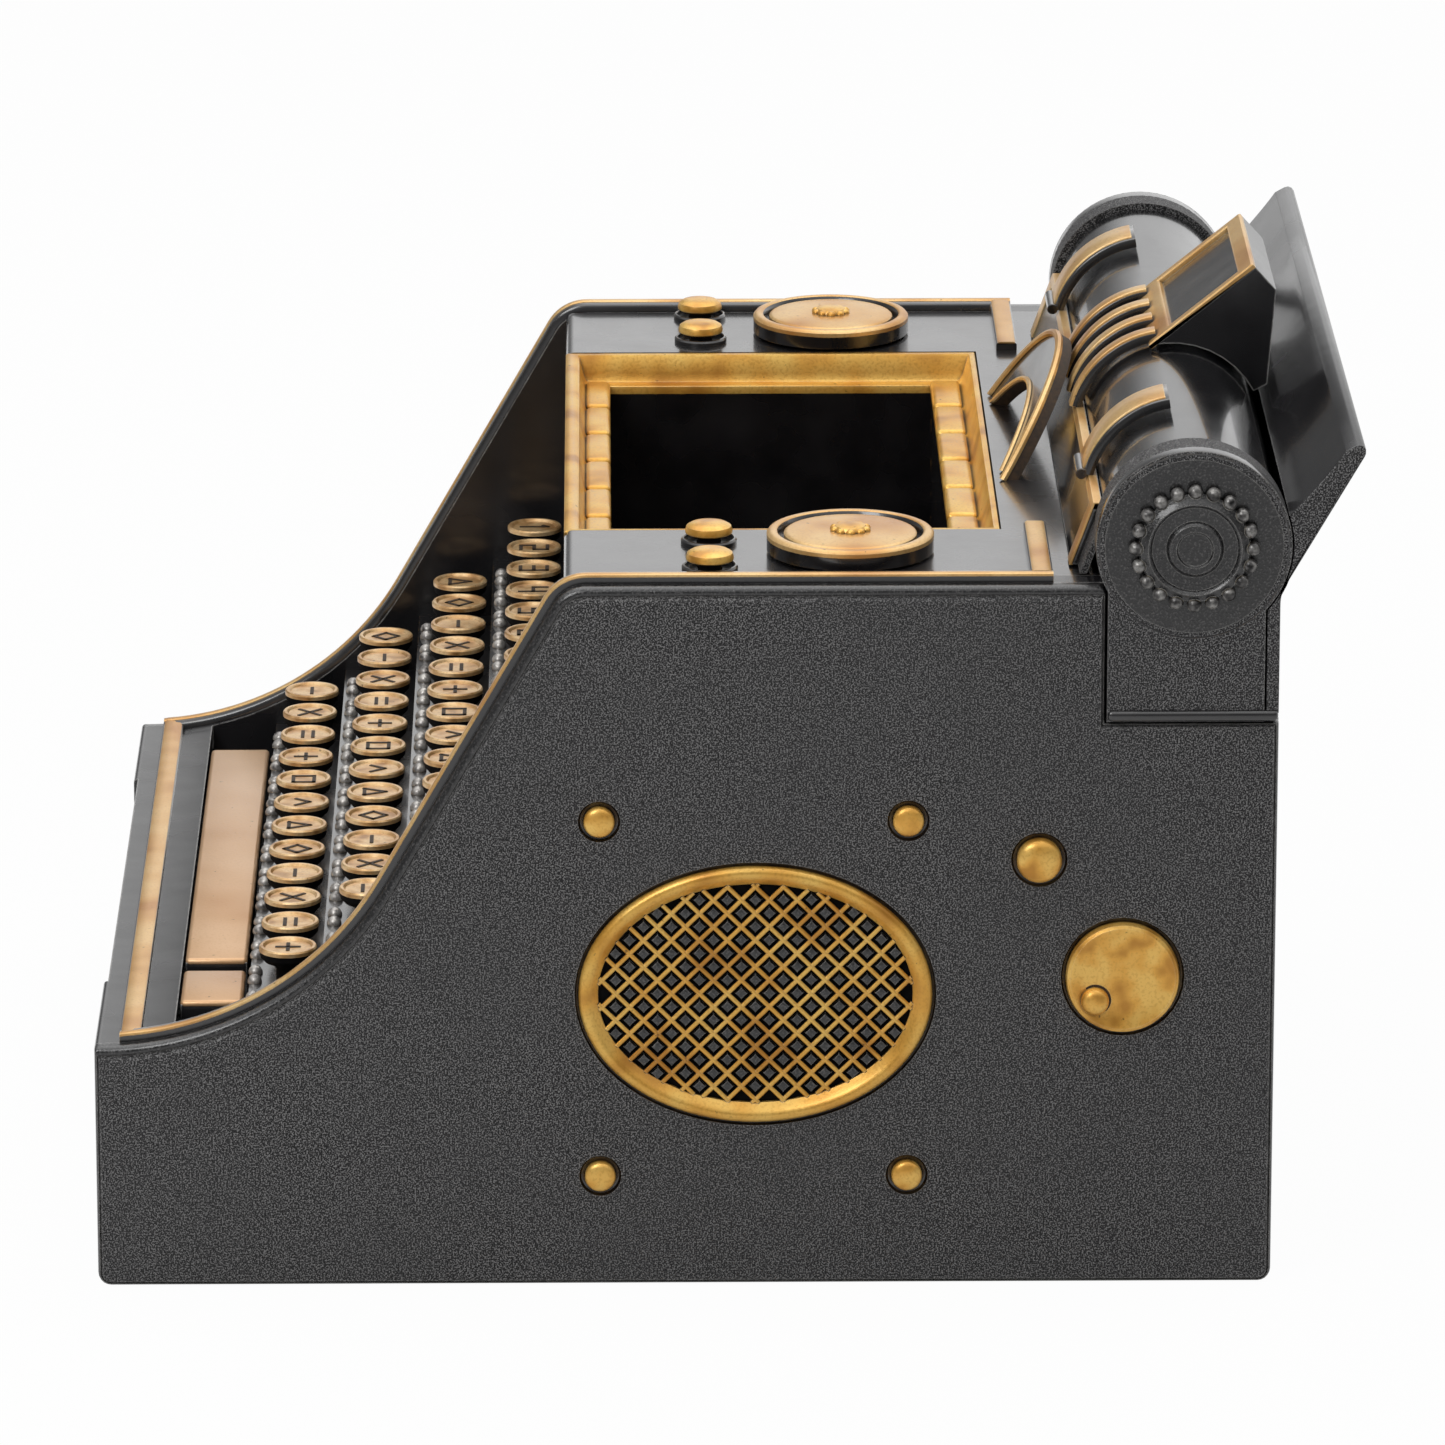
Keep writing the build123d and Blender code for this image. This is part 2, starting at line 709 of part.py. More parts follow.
# Type segment: a half ring on two posts, deep in the well
segment_inner = segment_radius - segment_width
fan_step = 180 / type_bar_count
fan = (type_bar_count, 180 + fan_step / 2, 180)
with BuildPart() as type_segment:
    with BuildSketch(level(segment_z)):
        with Locations((0, segment_y)):
            Circle(segment_radius)
            Circle(segment_inner, mode=Mode.SUBTRACT)
            Rectangle(2 * segment_radius, segment_radius, align=(Align.CENTER, Align.MIN),
                      mode=Mode.SUBTRACT)
    extrude(amount=segment_thickness)
    with BuildSketch(level(segment_z + segment_thickness)):
        with Locations((0, segment_y)):
            with PolarLocations(segment_radius - segment_width / 2, *fan):
                Rectangle(2 * segment_width, type_bar_thickness + fit)
    extrude(amount=-type_bar_height - fit / 2, mode=Mode.SUBTRACT)
    for x in (-post_x, post_x):
        half = segment_post / 2
        box_between(x - half, x + half, post_y - half, post_y + half,
                    base_thickness + basket_shift + fit, segment_z)
type_segment.part.label = "type_segment"
export_step(type_segment.part, "parts/type_segment.step")

# Type bars: a fan lying in the segment's slots, each with its slug at the outer end
with BuildPart() as type_bars:
    bar_inner = segment_inner + 1
    bar_outer = bar_inner + type_bar_length
    bar_floor = segment_z + segment_thickness - type_bar_height
    with BuildSketch(level(bar_floor)):
        with Locations((0, segment_y)):
            with PolarLocations((bar_inner + bar_outer) / 2, *fan):
                Rectangle(type_bar_length, type_bar_thickness)
    extrude(amount=type_bar_height)
    with BuildSketch(level(bar_floor)):
        with Locations((0, segment_y)):
            with PolarLocations(bar_outer - type_slug / 4, *fan):
                Rectangle(type_slug / 2, 2 * type_bar_thickness)
    extrude(amount=type_bar_height + type_slug)
type_bars.part.label = "type_bars"
export_step(type_bars.part, "parts/type_bars.step")

# Carriage rails under the carriage floor, one on each side of the runner slot
rail_top = notch_floor - cover_thickness
with BuildPart() as carriage_rails:
    for y in (slot_middle - runner_head / 2 - fit - rail_width, slot_middle + runner_head / 2 + fit):
        box_between(-rail_half_length, rail_half_length, y, y + rail_width, rail_top - rail_height,
                    rail_top)
carriage_rails.part.label = "carriage_rails"
export_step(carriage_rails.part, "parts/carriage_rails.step")


def wrap_section(plane, foot_z):
    """Section that wraps round the front of the platen, from height foot_z up to its head."""
    axis = (platen_y, platen_z)
    edges = []
    with BuildSketch(plane) as wrap:
        with BuildLine():
            for radius in (wrap_inner_radius, wrap_outer_radius):
                foot_angle = 180 - math.degrees(math.asin((foot_z - platen_z) / radius))
                edges.append(CenterArc(axis, radius, wrap_head_angle, foot_angle - wrap_head_angle))
            inner, outer = edges
            Line(inner @ 0, outer @ 0)
            Line(inner @ 1, outer @ 1)
        make_face()
    return wrap.sketch


def front_plate_section(plane, behind, thickness):
    """Slanted strip in front of the platen, starting a given distance behind its front face."""
    lean = math.radians(front_plate_lean)
    run = front_plate_height * math.sin(lean)
    rise = front_plate_height * math.cos(lean)
    foot_y = front_plate_foot_y + behind / math.cos(lean)
    level_thickness = thickness / math.cos(lean)
    with BuildSketch(plane) as strip:
        with BuildLine():
            Polyline(
                (foot_y, front_plate_foot_z),
                (foot_y + run, front_plate_foot_z + rise),
                (foot_y + run + level_thickness, front_plate_foot_z + rise),
                (foot_y + level_thickness, front_plate_foot_z),
                close=True,
            )
        make_face()
        with Locations((platen_y, platen_z)):
            Circle(platen_radius + fit, mode=Mode.SUBTRACT)
    return strip.sketch


# Carriage frame: end plates, cross beam, runner in the floor slot, and front plate brackets
with BuildPart() as carriage_frame:
    end_plate_thickness = carriage_half_width - end_plate_inner
    for x_low in (-carriage_half_width, end_plate_inner):
        with BuildSketch(carriage_side(x_low)):
            with BuildLine():
                Polyline(
                    (notch_front + fit, notch_floor + fit),
                    (notch_front + fit, platen_z - shoulder_radius),
                    (platen_y, platen_z),
                    (beam_rear - fit, platen_z - shoulder_radius),
                    (beam_rear - fit, notch_floor + fit),
                    close=True,
                )
            make_face()
            with Locations((platen_y, platen_z)):
                Circle(end_plate_radius)
                Circle(platen_shaft_radius + fit, mode=Mode.SUBTRACT)
            with Locations((notch_front + fit, deck_height + fit)):
                Rectangle(end_plate_radius, end_plate_radius, align=(Align.MAX, Align.MAX),
                          mode=Mode.SUBTRACT)
        extrude(amount=end_plate_thickness)
    for half_length, y_low, y_high, z_low, z_high in (
        (end_plate_inner, beam_front, beam_rear, notch_floor + fit, beam_top),
        (runner_half_length, slot_middle - runner_neck / 2, slot_middle + runner_neck / 2,
         rail_top - fit, notch_floor + fit),
        (runner_half_length, slot_middle - runner_head / 2, slot_middle + runner_head / 2,
         rail_top - fit - runner_head_thickness, rail_top - fit),
    ):
        box_between(carriage_x - half_length, carriage_x + half_length, y_low, y_high, z_low, z_high)
    bracket = front_plate_section(carriage_side(0), front_plate_thickness, bracket_thickness)
    for x_low in (-end_plate_inner - bracket_overlap, end_plate_inner - bracket_length):
        extrude(bracket.moved(Location((x_low, 0, 0))), amount=bracket_length + bracket_overlap)
carriage_frame.part.label = "carriage_frame"
export_step(carriage_frame.part, "parts/carriage_frame.step")

# Front plate between the carriage brackets
with BuildPart() as front_plate:
    extrude(front_plate_section(carriage_side(-front_plate_half_width), 0, front_plate_thickness),
            amount=2 * front_plate_half_width)
front_plate.part.label = "front_plate"
export_step(front_plate.part, "parts/front_plate.step")

# Platen: rubber roller on a shaft that turns in the end plates
with BuildPart() as platen:
    roller_half = end_plate_inner - fit
    with BuildSketch(carriage_side(-roller_half)):
        with Locations((platen_y, platen_z)):
            Circle(platen_radius)
    extrude(amount=2 * roller_half)
    shaft_half = carriage_half_width + knob_gap
    with BuildSketch(carriage_side(-shaft_half)):
        with Locations((platen_y, platen_z)):
            Circle(platen_shaft_radius)
    extrude(amount=2 * shaft_half)
platen.part.label = "platen"
export_step(platen.part, "parts/platen.step")

# Platen knobs: a beaded disc with a sunk ring and a hub
with BuildPart() as platen_knobs:
    with BuildSketch(carriage_side(shaft_half)):
        with Locations((platen_y, platen_z)):
            Circle(knob_bead_circle)
            with PolarLocations(knob_bead_circle, knob_bead_count):
                RegularPolygon(knob_bead_radius, knob_bead_sides)
    extrude(amount=knob_thickness)
    with BuildSketch(carriage_side(shaft_half + knob_thickness)):
        with Locations((platen_y, platen_z)):
            RegularPolygon(knob_ring_radius, ring_sides)
            RegularPolygon(knob_hub_radius, ring_sides, mode=Mode.SUBTRACT)
    extrude(amount=-knob_ring_depth, mode=Mode.SUBTRACT)
    mirror(about=Plane.YZ.offset(carriage_x))
platen_knobs.part.label = "platen_knobs"
export_step(platen_knobs.part, "parts/platen_knobs.step")

# Paper rest: a full-width casting behind the platen that flares back to its top edge
rest_flare = (rest_brow - rest_bend) / math.tan(math.radians(slope_angle))
rest_back = rest_rear + rest_flare + rest_brow_run
with BuildPart() as paper_rest:
    with BuildSketch(carriage_side(-carriage_half_width)) as rest_section:
        with BuildLine():
            Polyline(
                (beam_rear, rest_foot),
                (rest_rear, rest_foot),
                (rest_rear, rest_bend),
                (rest_rear + rest_flare, rest_brow),
                (rest_back, rest_top),
                (rest_back - rest_lip, rest_top - rest_lip_drop),
            )
            ThreePointArc(
                (rest_back - rest_lip, rest_top - rest_lip_drop),
                (rest_middle_y, rest_middle_z),
                (rest_front, rest_front_z),
            )
            Polyline(
                (rest_front, rest_front_z),
                (beam_rear, rest_front_z),
                (beam_rear, rest_foot),
            )
        make_face()
        fillet(rest_section.vertices().sort_by_distance((rest_rear, rest_bend))[0], shoulder_radius)
        with Locations((platen_y, platen_z)):
            Circle(end_plate_radius + fit, mode=Mode.SUBTRACT)
    extrude(amount=2 * carriage_half_width)
paper_rest.part.label = "paper_rest"
export_step(paper_rest.part, "parts/paper_rest.step")

# Name hood: four ribs round the platen and a block with a sunk, bare field on its sloped face
with BuildPart() as name_hood:
    hood_underside_z = rest_front_z + 2.4
    with BuildSketch(carriage_side(-hood_half_width)):
        with BuildLine():
            Polyline(
                (hood_face_foot_y, platen_z),
                (hood_face_foot_y, hood_face_foot_z),
                (hood_face_head_y, hood_face_head_z),
                (hood_back_head_y, hood_back_head_z),
                (hood_back_foot_y, hood_underside_z),
                close=True,
            )
        make_face()
        with Locations((platen_y, platen_z)):
            Circle(wrap_inner_radius, mode=Mode.SUBTRACT)
    extrude(amount=2 * hood_half_width)
    for rib in range(rib_count):
        x = (rib - (rib_count - 1) / 2) * rib_pitch
        extrude(wrap_section(carriage_side(x - rib_width / 2), wrap_foot), amount=rib_width)
    face_rise = hood_face_head_z - hood_face_foot_z
    face_run = hood_face_head_y - hood_face_foot_y
    face_length = math.hypot(face_rise, face_run)
    face_plane = Plane(
        origin=(carriage_x, front + hood_face_foot_y + face_run / 2, hood_face_foot_z + face_rise / 2),
        x_dir=(1, 0, 0),
        z_dir=(0, -face_rise, face_run),
    )
    with BuildSketch(face_plane):
        Rectangle(2 * (hood_half_width - hood_field_border), face_length - 2 * hood_field_border)
    extrude(amount=-hood_field_depth, mode=Mode.SUBTRACT)
name_hood.part.label = "name_hood"
export_step(name_hood.part, "parts/name_hood.step")

# Paper fingers: a curved blade over the platen on a small hinge barrel
for name, x in (("paper_finger_left", -finger_x), ("paper_finger_right", finger_x)):
    with BuildPart() as finger:
        extrude(wrap_section(carriage_side(x - finger_width / 2), wrap_foot), amount=finger_width)
        with BuildSketch(carriage_side(x - finger_width / 2)):
            with Locations((hinge_y, wrap_foot)):
                Circle(hinge_radius)
        extrude(amount=finger_width)
    finger.part.label = name
    export_step(finger.part, f"parts/{name}.step")
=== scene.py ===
import math

import bmesh
import bpy
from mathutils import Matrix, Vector
from mathutils.geometry import tessellate_polygon

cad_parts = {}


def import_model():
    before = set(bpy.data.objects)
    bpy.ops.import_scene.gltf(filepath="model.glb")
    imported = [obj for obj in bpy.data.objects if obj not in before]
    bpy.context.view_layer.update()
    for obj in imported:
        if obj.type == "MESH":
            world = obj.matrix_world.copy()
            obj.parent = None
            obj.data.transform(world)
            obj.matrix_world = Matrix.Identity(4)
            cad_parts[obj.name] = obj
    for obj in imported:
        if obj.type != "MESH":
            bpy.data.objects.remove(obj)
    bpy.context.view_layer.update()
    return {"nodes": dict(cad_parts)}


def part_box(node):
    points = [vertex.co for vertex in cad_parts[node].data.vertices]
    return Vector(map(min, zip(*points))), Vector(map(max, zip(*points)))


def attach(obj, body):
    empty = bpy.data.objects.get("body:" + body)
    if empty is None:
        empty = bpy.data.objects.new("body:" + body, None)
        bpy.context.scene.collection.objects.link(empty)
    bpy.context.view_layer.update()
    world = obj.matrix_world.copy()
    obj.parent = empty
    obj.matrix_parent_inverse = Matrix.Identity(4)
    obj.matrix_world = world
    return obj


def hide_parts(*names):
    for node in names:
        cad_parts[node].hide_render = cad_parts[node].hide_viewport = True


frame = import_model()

MM = 0.001


def span(node):
    """Lowest and highest corner of a CAD node at rest, in millimetres."""
    low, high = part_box(node)
    return Vector(low) / MM, Vector(high) / MM


def centre_of(node):
    """Middle of a CAD node at rest, in millimetres."""
    return [(low + high) / 2 for low, high in zip(*span(node))]


# Places read from the frame, in millimetres
cabinet_low, cabinet_high = span("cabinet")
panel_low, panel_high = span("side_panel_right")
FRONT = cabinet_low.y
REAR = cabinet_high.y
DECK = cabinet_high.z
PANEL_IN = panel_low.x
PANEL_OUT = panel_high.x
well_low, well_high = span("well_frame")
SLOPE_HEAD = well_low.y
platen_low, platen_high = span("platen")
_, PLATEN_Y, PLATEN_Z = centre_of("platen")
PLATEN_RADIUS = (platen_high.z - platen_low.z) / 2
rest_low, rest_high = span("paper_rest")
CARRIAGE_X = (rest_low.x + rest_high.x) / 2
CARRIAGE_HALF = (rest_high.x - rest_low.x) / 2

# Notch in the cabinet that the carriage runs in
NOTCH_DEPTH = 39.2
NOTCH_CLEARANCE = 1.5
NOTCH_FRONT = REAR - NOTCH_DEPTH
NOTCH_FLOOR = rest_low.z - NOTCH_CLEARANCE

# Sizes of the outline that no box gives
FRONT_HEIGHT = 57.3
SLOPE_ANGLE = math.radians(60.0)
SWEEP_RADIUS = 75.0
SHOULDER_RADIUS = 9.0
FOOT_RADIUS = 3.0
SWEEP_CORNER = SLOPE_HEAD - (DECK - FRONT_HEIGHT) / math.tan(SLOPE_ANGLE)


# ---------- materials

def srgb(red, green, blue):
    """Linear colour from 0-255 display values."""
    def linear(value):
        value /= 255
        return value / 12.92 if value <= 0.04045 else ((value + 0.055) / 1.055) ** 2.4
    return (linear(red), linear(green), linear(blue), 1.0)


def shader_node(tree, kind, inputs=None, **settings):
    """A shader node with its settings; inputs, by name or number, are constants or sockets to link."""
    node = tree.nodes.new("ShaderNode" + kind)
    for name, value in settings.items():
        setattr(node, name, value)
    for name, value in (inputs or {}).items():
        if isinstance(value, bpy.types.NodeSocket):
            tree.links.new(value, node.inputs[name])
        else:
            node.inputs[name].default_value = value
    return node


def ranged(tree, value, start, end, low, high):
    """The value's way from start to end, as a way from low to high."""
    return shader_node(tree, "MapRange", {"Value": value, "From Min": start, "From Max": end, "To Min": low,
                                          "To Max": high}).outputs[0]


def empty_material(name):
    """A new material and its cleared node tree."""
    material = bpy.data.materials.new(name)
    material.use_nodes = True
    material.node_tree.nodes.clear()
    return material, material.node_tree


class Look:
    """A principled material and short ways to add its nodes. Lengths are in millimetres."""

    def __init__(self, name, roughness=0.5, metallic=0.0, specular=0.5, coat=0.0, coat_roughness=0.1):
        self.material, self.tree = empty_material(name)
        self.shader = self.add("BsdfPrincipled", {
            "Roughness": roughness, "Metallic": metallic, "Specular IOR Level": specular,
            "Coat Weight": coat, "Coat Roughness": coat_roughness})
        self.add("OutputMaterial", {0: self.shader.outputs[0]})
        self.place = self.stretched(1 / MM, 1 / MM, 1 / MM, self.add("TexCoord").outputs["Object"])

    def add(self, kind, inputs=None, **settings):
        return shader_node(self.tree, kind, inputs, **settings)

    def stretched(self, x, y, z, place=None):
        """The place, with each axis multiplied, for streaks."""
        return self.add("Mapping", {"Vector": place or self.place, "Scale": (x, y, z)}).outputs[0]

    def noise(self, size, detail=3.0, rough=0.55, place=None):
        """Noise with features of about the given size."""
        return self.add("TexNoise", {"Vector": place or self.place, "Scale": 1 / size, "Detail": detail,
                                     "Roughness": rough}).outputs["Fac"]

    def ramp(self, value, *stops):
        """Colour or grey ramp from (position, colour or grey) stops."""
        node = self.add("ValToRGB", {0: value})
        elements = node.color_ramp.elements
        while len(elements) < len(stops):
            elements.new(0.5)
        for element, (position, colour) in zip(elements, stops):
            element.position = position
            element.color = colour if isinstance(colour, tuple) else (colour, colour, colour, 1.0)
        return node.outputs[0]

    def mix(self, amount, first, second):
        """Mix of two colours or sockets; amount is a socket."""
        return self.add("Mix", {0: amount, 6: first, 7: second}, data_type="RGBA").outputs[2]

    def product(self, first, second):
        """Clamped product of two sockets or numbers."""
        return self.add("Math", {0: first, 1: second}, operation="MULTIPLY", use_clamp=True).outputs[0]

    def edges(self, radius, low, high):
        """1 along edges and 0 on flats, from how far a rounded normal turns away."""
        rounded = self.add("Bevel", {"Radius": radius * MM}, samples=4).outputs[0]
        normal = self.add("NewGeometry").outputs["Normal"]
        likeness = self.add("VectorMath", {0: rounded, 1: normal}, operation="DOT_PRODUCT").outputs["Value"]
        return self.ramp(likeness, (low, 1.0), (high, 0.0))

    def crevices(self, distance):
        """1 in the open and darker in corners."""
        return self.add("AmbientOcclusion", {"Distance": distance * MM}, samples=6).outputs["AO"]

    def colour(self, value):
        self.tree.links.new(value, self.shader.inputs["Base Color"])

    def edge_wear_and_painted_highlight(self, colour, bright, size, low, high, patches):
        """The colour, with bright edges of the given size where the patches let them show: rubbed paint, and
        with a light edge colour a painted highlight.
        """
        self.colour(self.mix(self.product(self.edges(size, low, high), patches), colour, bright))

    def roughness(self, value, low, high):
        self.tree.links.new(ranged(self.tree, value, 0.0, 1.0, low, high), self.shader.inputs["Roughness"])

    def bump(self, *layers):
        """Bumps from (height socket, depth) layers, each on top of the one before."""
        below = {}
        for height, depth in layers:
            bumped = self.add("Bump", {"Height": height, "Distance": depth * MM, **below}).outputs[0]
            below = {"Normal": bumped}
        self.tree.links.new(bumped, self.shader.inputs["Normal"])


def charcoal_casting():
    """Fine-grained grey paint on cast iron, with lighter specks (grain, partly painted glints) and bright
    edges (rubbed paint and a painted highlight).
    """
    look = Look("charcoal_casting", roughness=0.6, specular=0.3)
    speck = look.noise(0.36, detail=1.0, rough=0.5)
    cloud = look.noise(38.0, detail=2.0)
    # Light specks: the casting's grain, and painted glints where tiny bumps would catch the light.
    grain = look.ramp(speck, (0.37, srgb(20, 20, 21)), (0.5, srgb(50, 49, 50)), (0.62, srgb(133, 132, 132)))
    shade = look.mix(look.ramp(cloud, (0.35, 0.0), (0.7, 0.25)), grain, srgb(69, 69, 70))
    # Near-white edges: rubbed paint and a painted highlight along the rounded edges.
    look.edge_wear_and_painted_highlight(shade, srgb(160, 158, 155), 0.6, 0.72, 0.97, look.noise(2.4))
    look.roughness(speck, 0.4, 0.7)
    look.bump((speck, 0.12), (cloud, 0.12))
    return look.material


def black_enamel():
    """Glossy black paint with faint brush waves, dust and thin edge wear."""
    look = Look("black_enamel", roughness=0.25, specular=0.7, coat=1.0, coat_roughness=0.12)
    cloud = look.noise(14.0, detail=2.0)
    fine = look.noise(0.8, detail=1.0)
    base = look.ramp(cloud, (0.3, srgb(14, 13, 15)), (0.75, srgb(30, 28, 30)))
    patches = look.ramp(look.noise(3.0), (0.45, 0.0), (0.62, 1.0))
    look.edge_wear_and_painted_highlight(base, srgb(120, 92, 48), 0.5, 0.75, 0.96, patches)
    look.roughness(cloud, 0.18, 0.38)
    look.bump((fine, 0.02), (cloud, 0.1))
    return look.material


def knob_paint():
    """Dark glossy paint over a coarse casting, with a painted highlight on its edges (partly rubbed paint)
    and painted black shade in its corners.
    """
    look = Look("knob_paint", roughness=0.3, specular=0.6, coat=0.7, coat_roughness=0.12)
    speck = look.noise(0.5, detail=1.0, rough=0.6)
    grain = look.ramp(speck, (0.36, srgb(5, 5, 6)), (0.54, srgb(17, 16, 18)), (0.7, srgb(74, 72, 72)))
    # Painted shade: near black where ambient occlusion finds corners.
    painted_hollow_shade = look.ramp(look.crevices(1.6), (0.4, 0.9), (0.85, 0.0))
    shade = look.mix(painted_hollow_shade, grain, srgb(4, 4, 5))
    patches = look.ramp(look.noise(1.6), (0.3, 0.35), (0.6, 1.0))
    # Near-white edges: a painted highlight, partly rubbed paint.
    look.edge_wear_and_painted_highlight(shade, srgb(186, 184, 180), 0.45, 0.72, 0.96, patches)
    look.roughness(speck, 0.2, 0.45)
    look.bump((speck, 0.14))
    return look.material


def plain_paint(name, dark, light, patch, grain, **settings):
    """Matt paint or ink, softly mottled."""
    look = Look(name, **settings)
    look.colour(look.ramp(look.noise(patch), (0.3, dark), (0.7, light)))
    look.bump((look.noise(grain), 0.05))
    return look.material


def gold_paint(name, light, middle, dark, patch=6.0, relief=0.1):
    """Rubbed antique gold: softly mottled, with a painted highlight on its edges, painted brown shade in its
    corners, worn through in spots.
    """
    look = Look(name, roughness=0.36, metallic=0.5, coat=0.25, coat_roughness=0.18)
    blotch = look.noise(patch, detail=1.5, rough=0.5)
    fine = look.noise(0.7, detail=1.0, rough=0.5)
    tone = look.ramp(blotch, (0.3, dark), (0.45, middle), (0.62, light))
    tone = look.mix(look.ramp(fine, (0.34, 0.3), (0.5, 0.0)), tone, dark)
    # Painted highlight: a pale warm colour along the edges.
    tone = look.mix(look.product(look.edges(0.5, 0.7, 0.96), 0.7), tone, srgb(255, 232, 180))
    # Painted shade: dark brown where ambient occlusion finds corners and hollows, a little uneven.
    corner = look.ramp(look.crevices(1.3), (0.35, 1.0), (0.8, 0.0))
    painted_corner_shade = look.product(corner, look.ramp(blotch, (0.3, 1.0), (0.75, 0.7)))
    tone = look.mix(painted_corner_shade, tone, srgb(38, 24, 10))
    spots = look.ramp(look.noise(1.8, detail=2.0, rough=0.5), (0.72, 0.0), (0.77, 0.7))
    look.colour(look.mix(spots, tone, srgb(80, 54, 26)))
    look.roughness(fine, 0.26, 0.46)
    look.bump((fine, 0.03), (blotch, relief))
    return look.material


def platen_rubber():
    """Hard glossy black rubber, faintly wavy."""
    look = Look("platen_rubber", roughness=0.15, specular=0.6, coat=0.6, coat_roughness=0.06)
    lines = look.noise(0.9, detail=1.0, place=look.stretched(1.0, 0.03, 0.03))
    smear = look.noise(11.0, detail=2.0, place=look.stretched(0.35, 1.0, 1.0))
    look.colour(look.ramp(smear, (0.3, srgb(10, 10, 12)), (0.75, srgb(26, 26, 29))))
    look.roughness(smear, 0.08, 0.3)
    look.bump((lines, 0.015), (smear, 0.22))
    return look.material


def rest_paint():
    """Smooth dark paint of the paper rest and the name hood, with soft broad reflections and a painted
    highlight along its rubbed edges.
    """
    look = Look("rest_paint", roughness=0.25, specular=0.5, coat=0.5, coat_roughness=0.12)
    wave = look.noise(26.0, detail=2.0)
    fine = look.noise(0.6, detail=1.0)
    base = look.ramp(wave, (0.3, srgb(20, 20, 22)), (0.75, srgb(40, 39, 41)))
    patches = look.ramp(look.noise(2.0), (0.3, 0.4), (0.6, 1.0))
    # Near-white edges: a painted highlight, partly rubbed paint.
    look.edge_wear_and_painted_highlight(base, srgb(200, 198, 195), 0.7, 0.75, 0.97, patches)
    look.roughness(wave, 0.15, 0.35)
    look.bump((fine, 0.02), (wave, 0.5))
    return look.material


def dark_steel():
    """Oiled dark steel of the mechanism."""
    look = Look("dark_steel", roughness=0.4, metallic=0.85)
    cloud = look.noise(6.0, detail=4.0)
    look.colour(look.ramp(cloud, (0.3, srgb(48, 47, 46)), (0.75, srgb(98, 96, 94))))
    look.roughness(cloud, 0.3, 0.55)
    look.bump((look.noise(0.9), 0.05))
    return look.material


CASTING = charcoal_casting()
ENAMEL = black_enamel()
# name: light, middle and dark tone, size of the mottling, its relief
GOLD = gold_paint("antique_gold", srgb(250, 202, 106), srgb(238, 178, 78), srgb(200, 140, 52), relief=0.2)
TRIM = gold_paint("trim_gold", srgb(240, 200, 136), srgb(228, 178, 108), srgb(204, 146, 78), 17.0)
BRONZE = gold_paint("bar_bronze", srgb(226, 186, 144), srgb(218, 174, 128), srgb(204, 154, 104), 30.0)
KEY_GOLD = gold_paint("key_gold", srgb(238, 202, 150), srgb(218, 172, 114), srgb(176, 128, 74), 4.0)
FRAME_GOLD = gold_paint("frame_gold", srgb(242, 196, 100), srgb(232, 174, 74), srgb(192, 132, 46), 12.0)
BEAD = gold_paint("worn_bead", srgb(150, 148, 145), srgb(92, 90, 89), srgb(26, 25, 26), 1.8)
# Pale grey tread studs: the pale colour is a painted highlight for the glints on their glossy domes.
STUD = gold_paint("stud_painted_glint", srgb(206, 202, 196), srgb(176, 172, 168), srgb(96, 92, 90), 2.0)
KNOB = knob_paint()
BLACK = plain_paint("flat_black", srgb(6, 6, 7), srgb(18, 17, 18), 2.0, 0.8, roughness=0.8, specular=0.1)
RUBBER = platen_rubber()
REST = rest_paint()
STEEL = dark_steel()
MARK = plain_paint("dark_mark", srgb(30, 20, 10), srgb(66, 46, 24), 1.2, 0.6, roughness=0.6)


# ---------- mesh helpers

SMOOTH_ANGLE = math.radians(35.0)
SIDE_FACE = 0.99999      # share of a normal that points sideways, from which a face counts as flat
WELD_DISTANCE = 0.001


def linked(name, data):
    """An object in the scene that shows a mesh, light or camera."""
    made = bpy.data.objects.new(name, data)
    bpy.context.scene.collection.objects.link(made)
    return made


def piece(name, body, groups, nodes=()):
    """One object from (vertices in mm, faces, material) groups, riding on a body."""
    vertices, faces, indices, materials = [], [], [], []
    for group_vertices, group_faces, material in groups:
        if material not in materials:
            materials.append(material)
        start = len(vertices)
        vertices += [Vector(v) * MM for v in group_vertices]
        faces += [[start + i for i in face] for face in group_faces]
        indices += [materials.index(material)] * len(group_faces)
    mesh = bpy.data.meshes.new(name)
    mesh.from_pydata(vertices, [], faces)
    for material in materials:
        mesh.materials.append(material)
    mesh.polygons.foreach_set("material_index", indices)
    work = bmesh.new()
    work.from_mesh(mesh)
    bmesh.ops.recalc_face_normals(work, faces=work.faces)
    work.to_mesh(mesh)
    work.free()
    mesh.shade_smooth()
    mesh.set_sharp_from_angle(angle=SMOOTH_ANGLE)
    made = linked(name, mesh)
    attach(made, body)
    if nodes:
        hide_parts(*nodes)
    return made


def skin(loops, first_cap=True, last_cap=True):
    """Vertices and faces of closed loops joined in order, with flat caps."""
    count = len(loops[0])
    vertices = [point for loop in loops for point in loop]
    faces = []
    for ring in range(len(loops) - 1):
        for i in range(count):
            j = (i + 1) % count
            faces.append((ring * count + i, ring * count + j, (ring + 1) * count + j, (ring + 1) * count + i))
    if first_cap:
        faces.append(tuple(range(count)))
    if last_cap:
        faces.append(tuple((len(loops) - 1) * count + i for i in range(count)))
    return vertices, faces


def circle(radius, count, stretch=1.0):
    """Points of a circle, or of an ellipse that is stretched in its second direction."""
    turns = [2 * math.pi * i / count for i in range(count)]
    return [(radius * math.cos(t), radius * stretch * math.sin(t)) for t in turns]


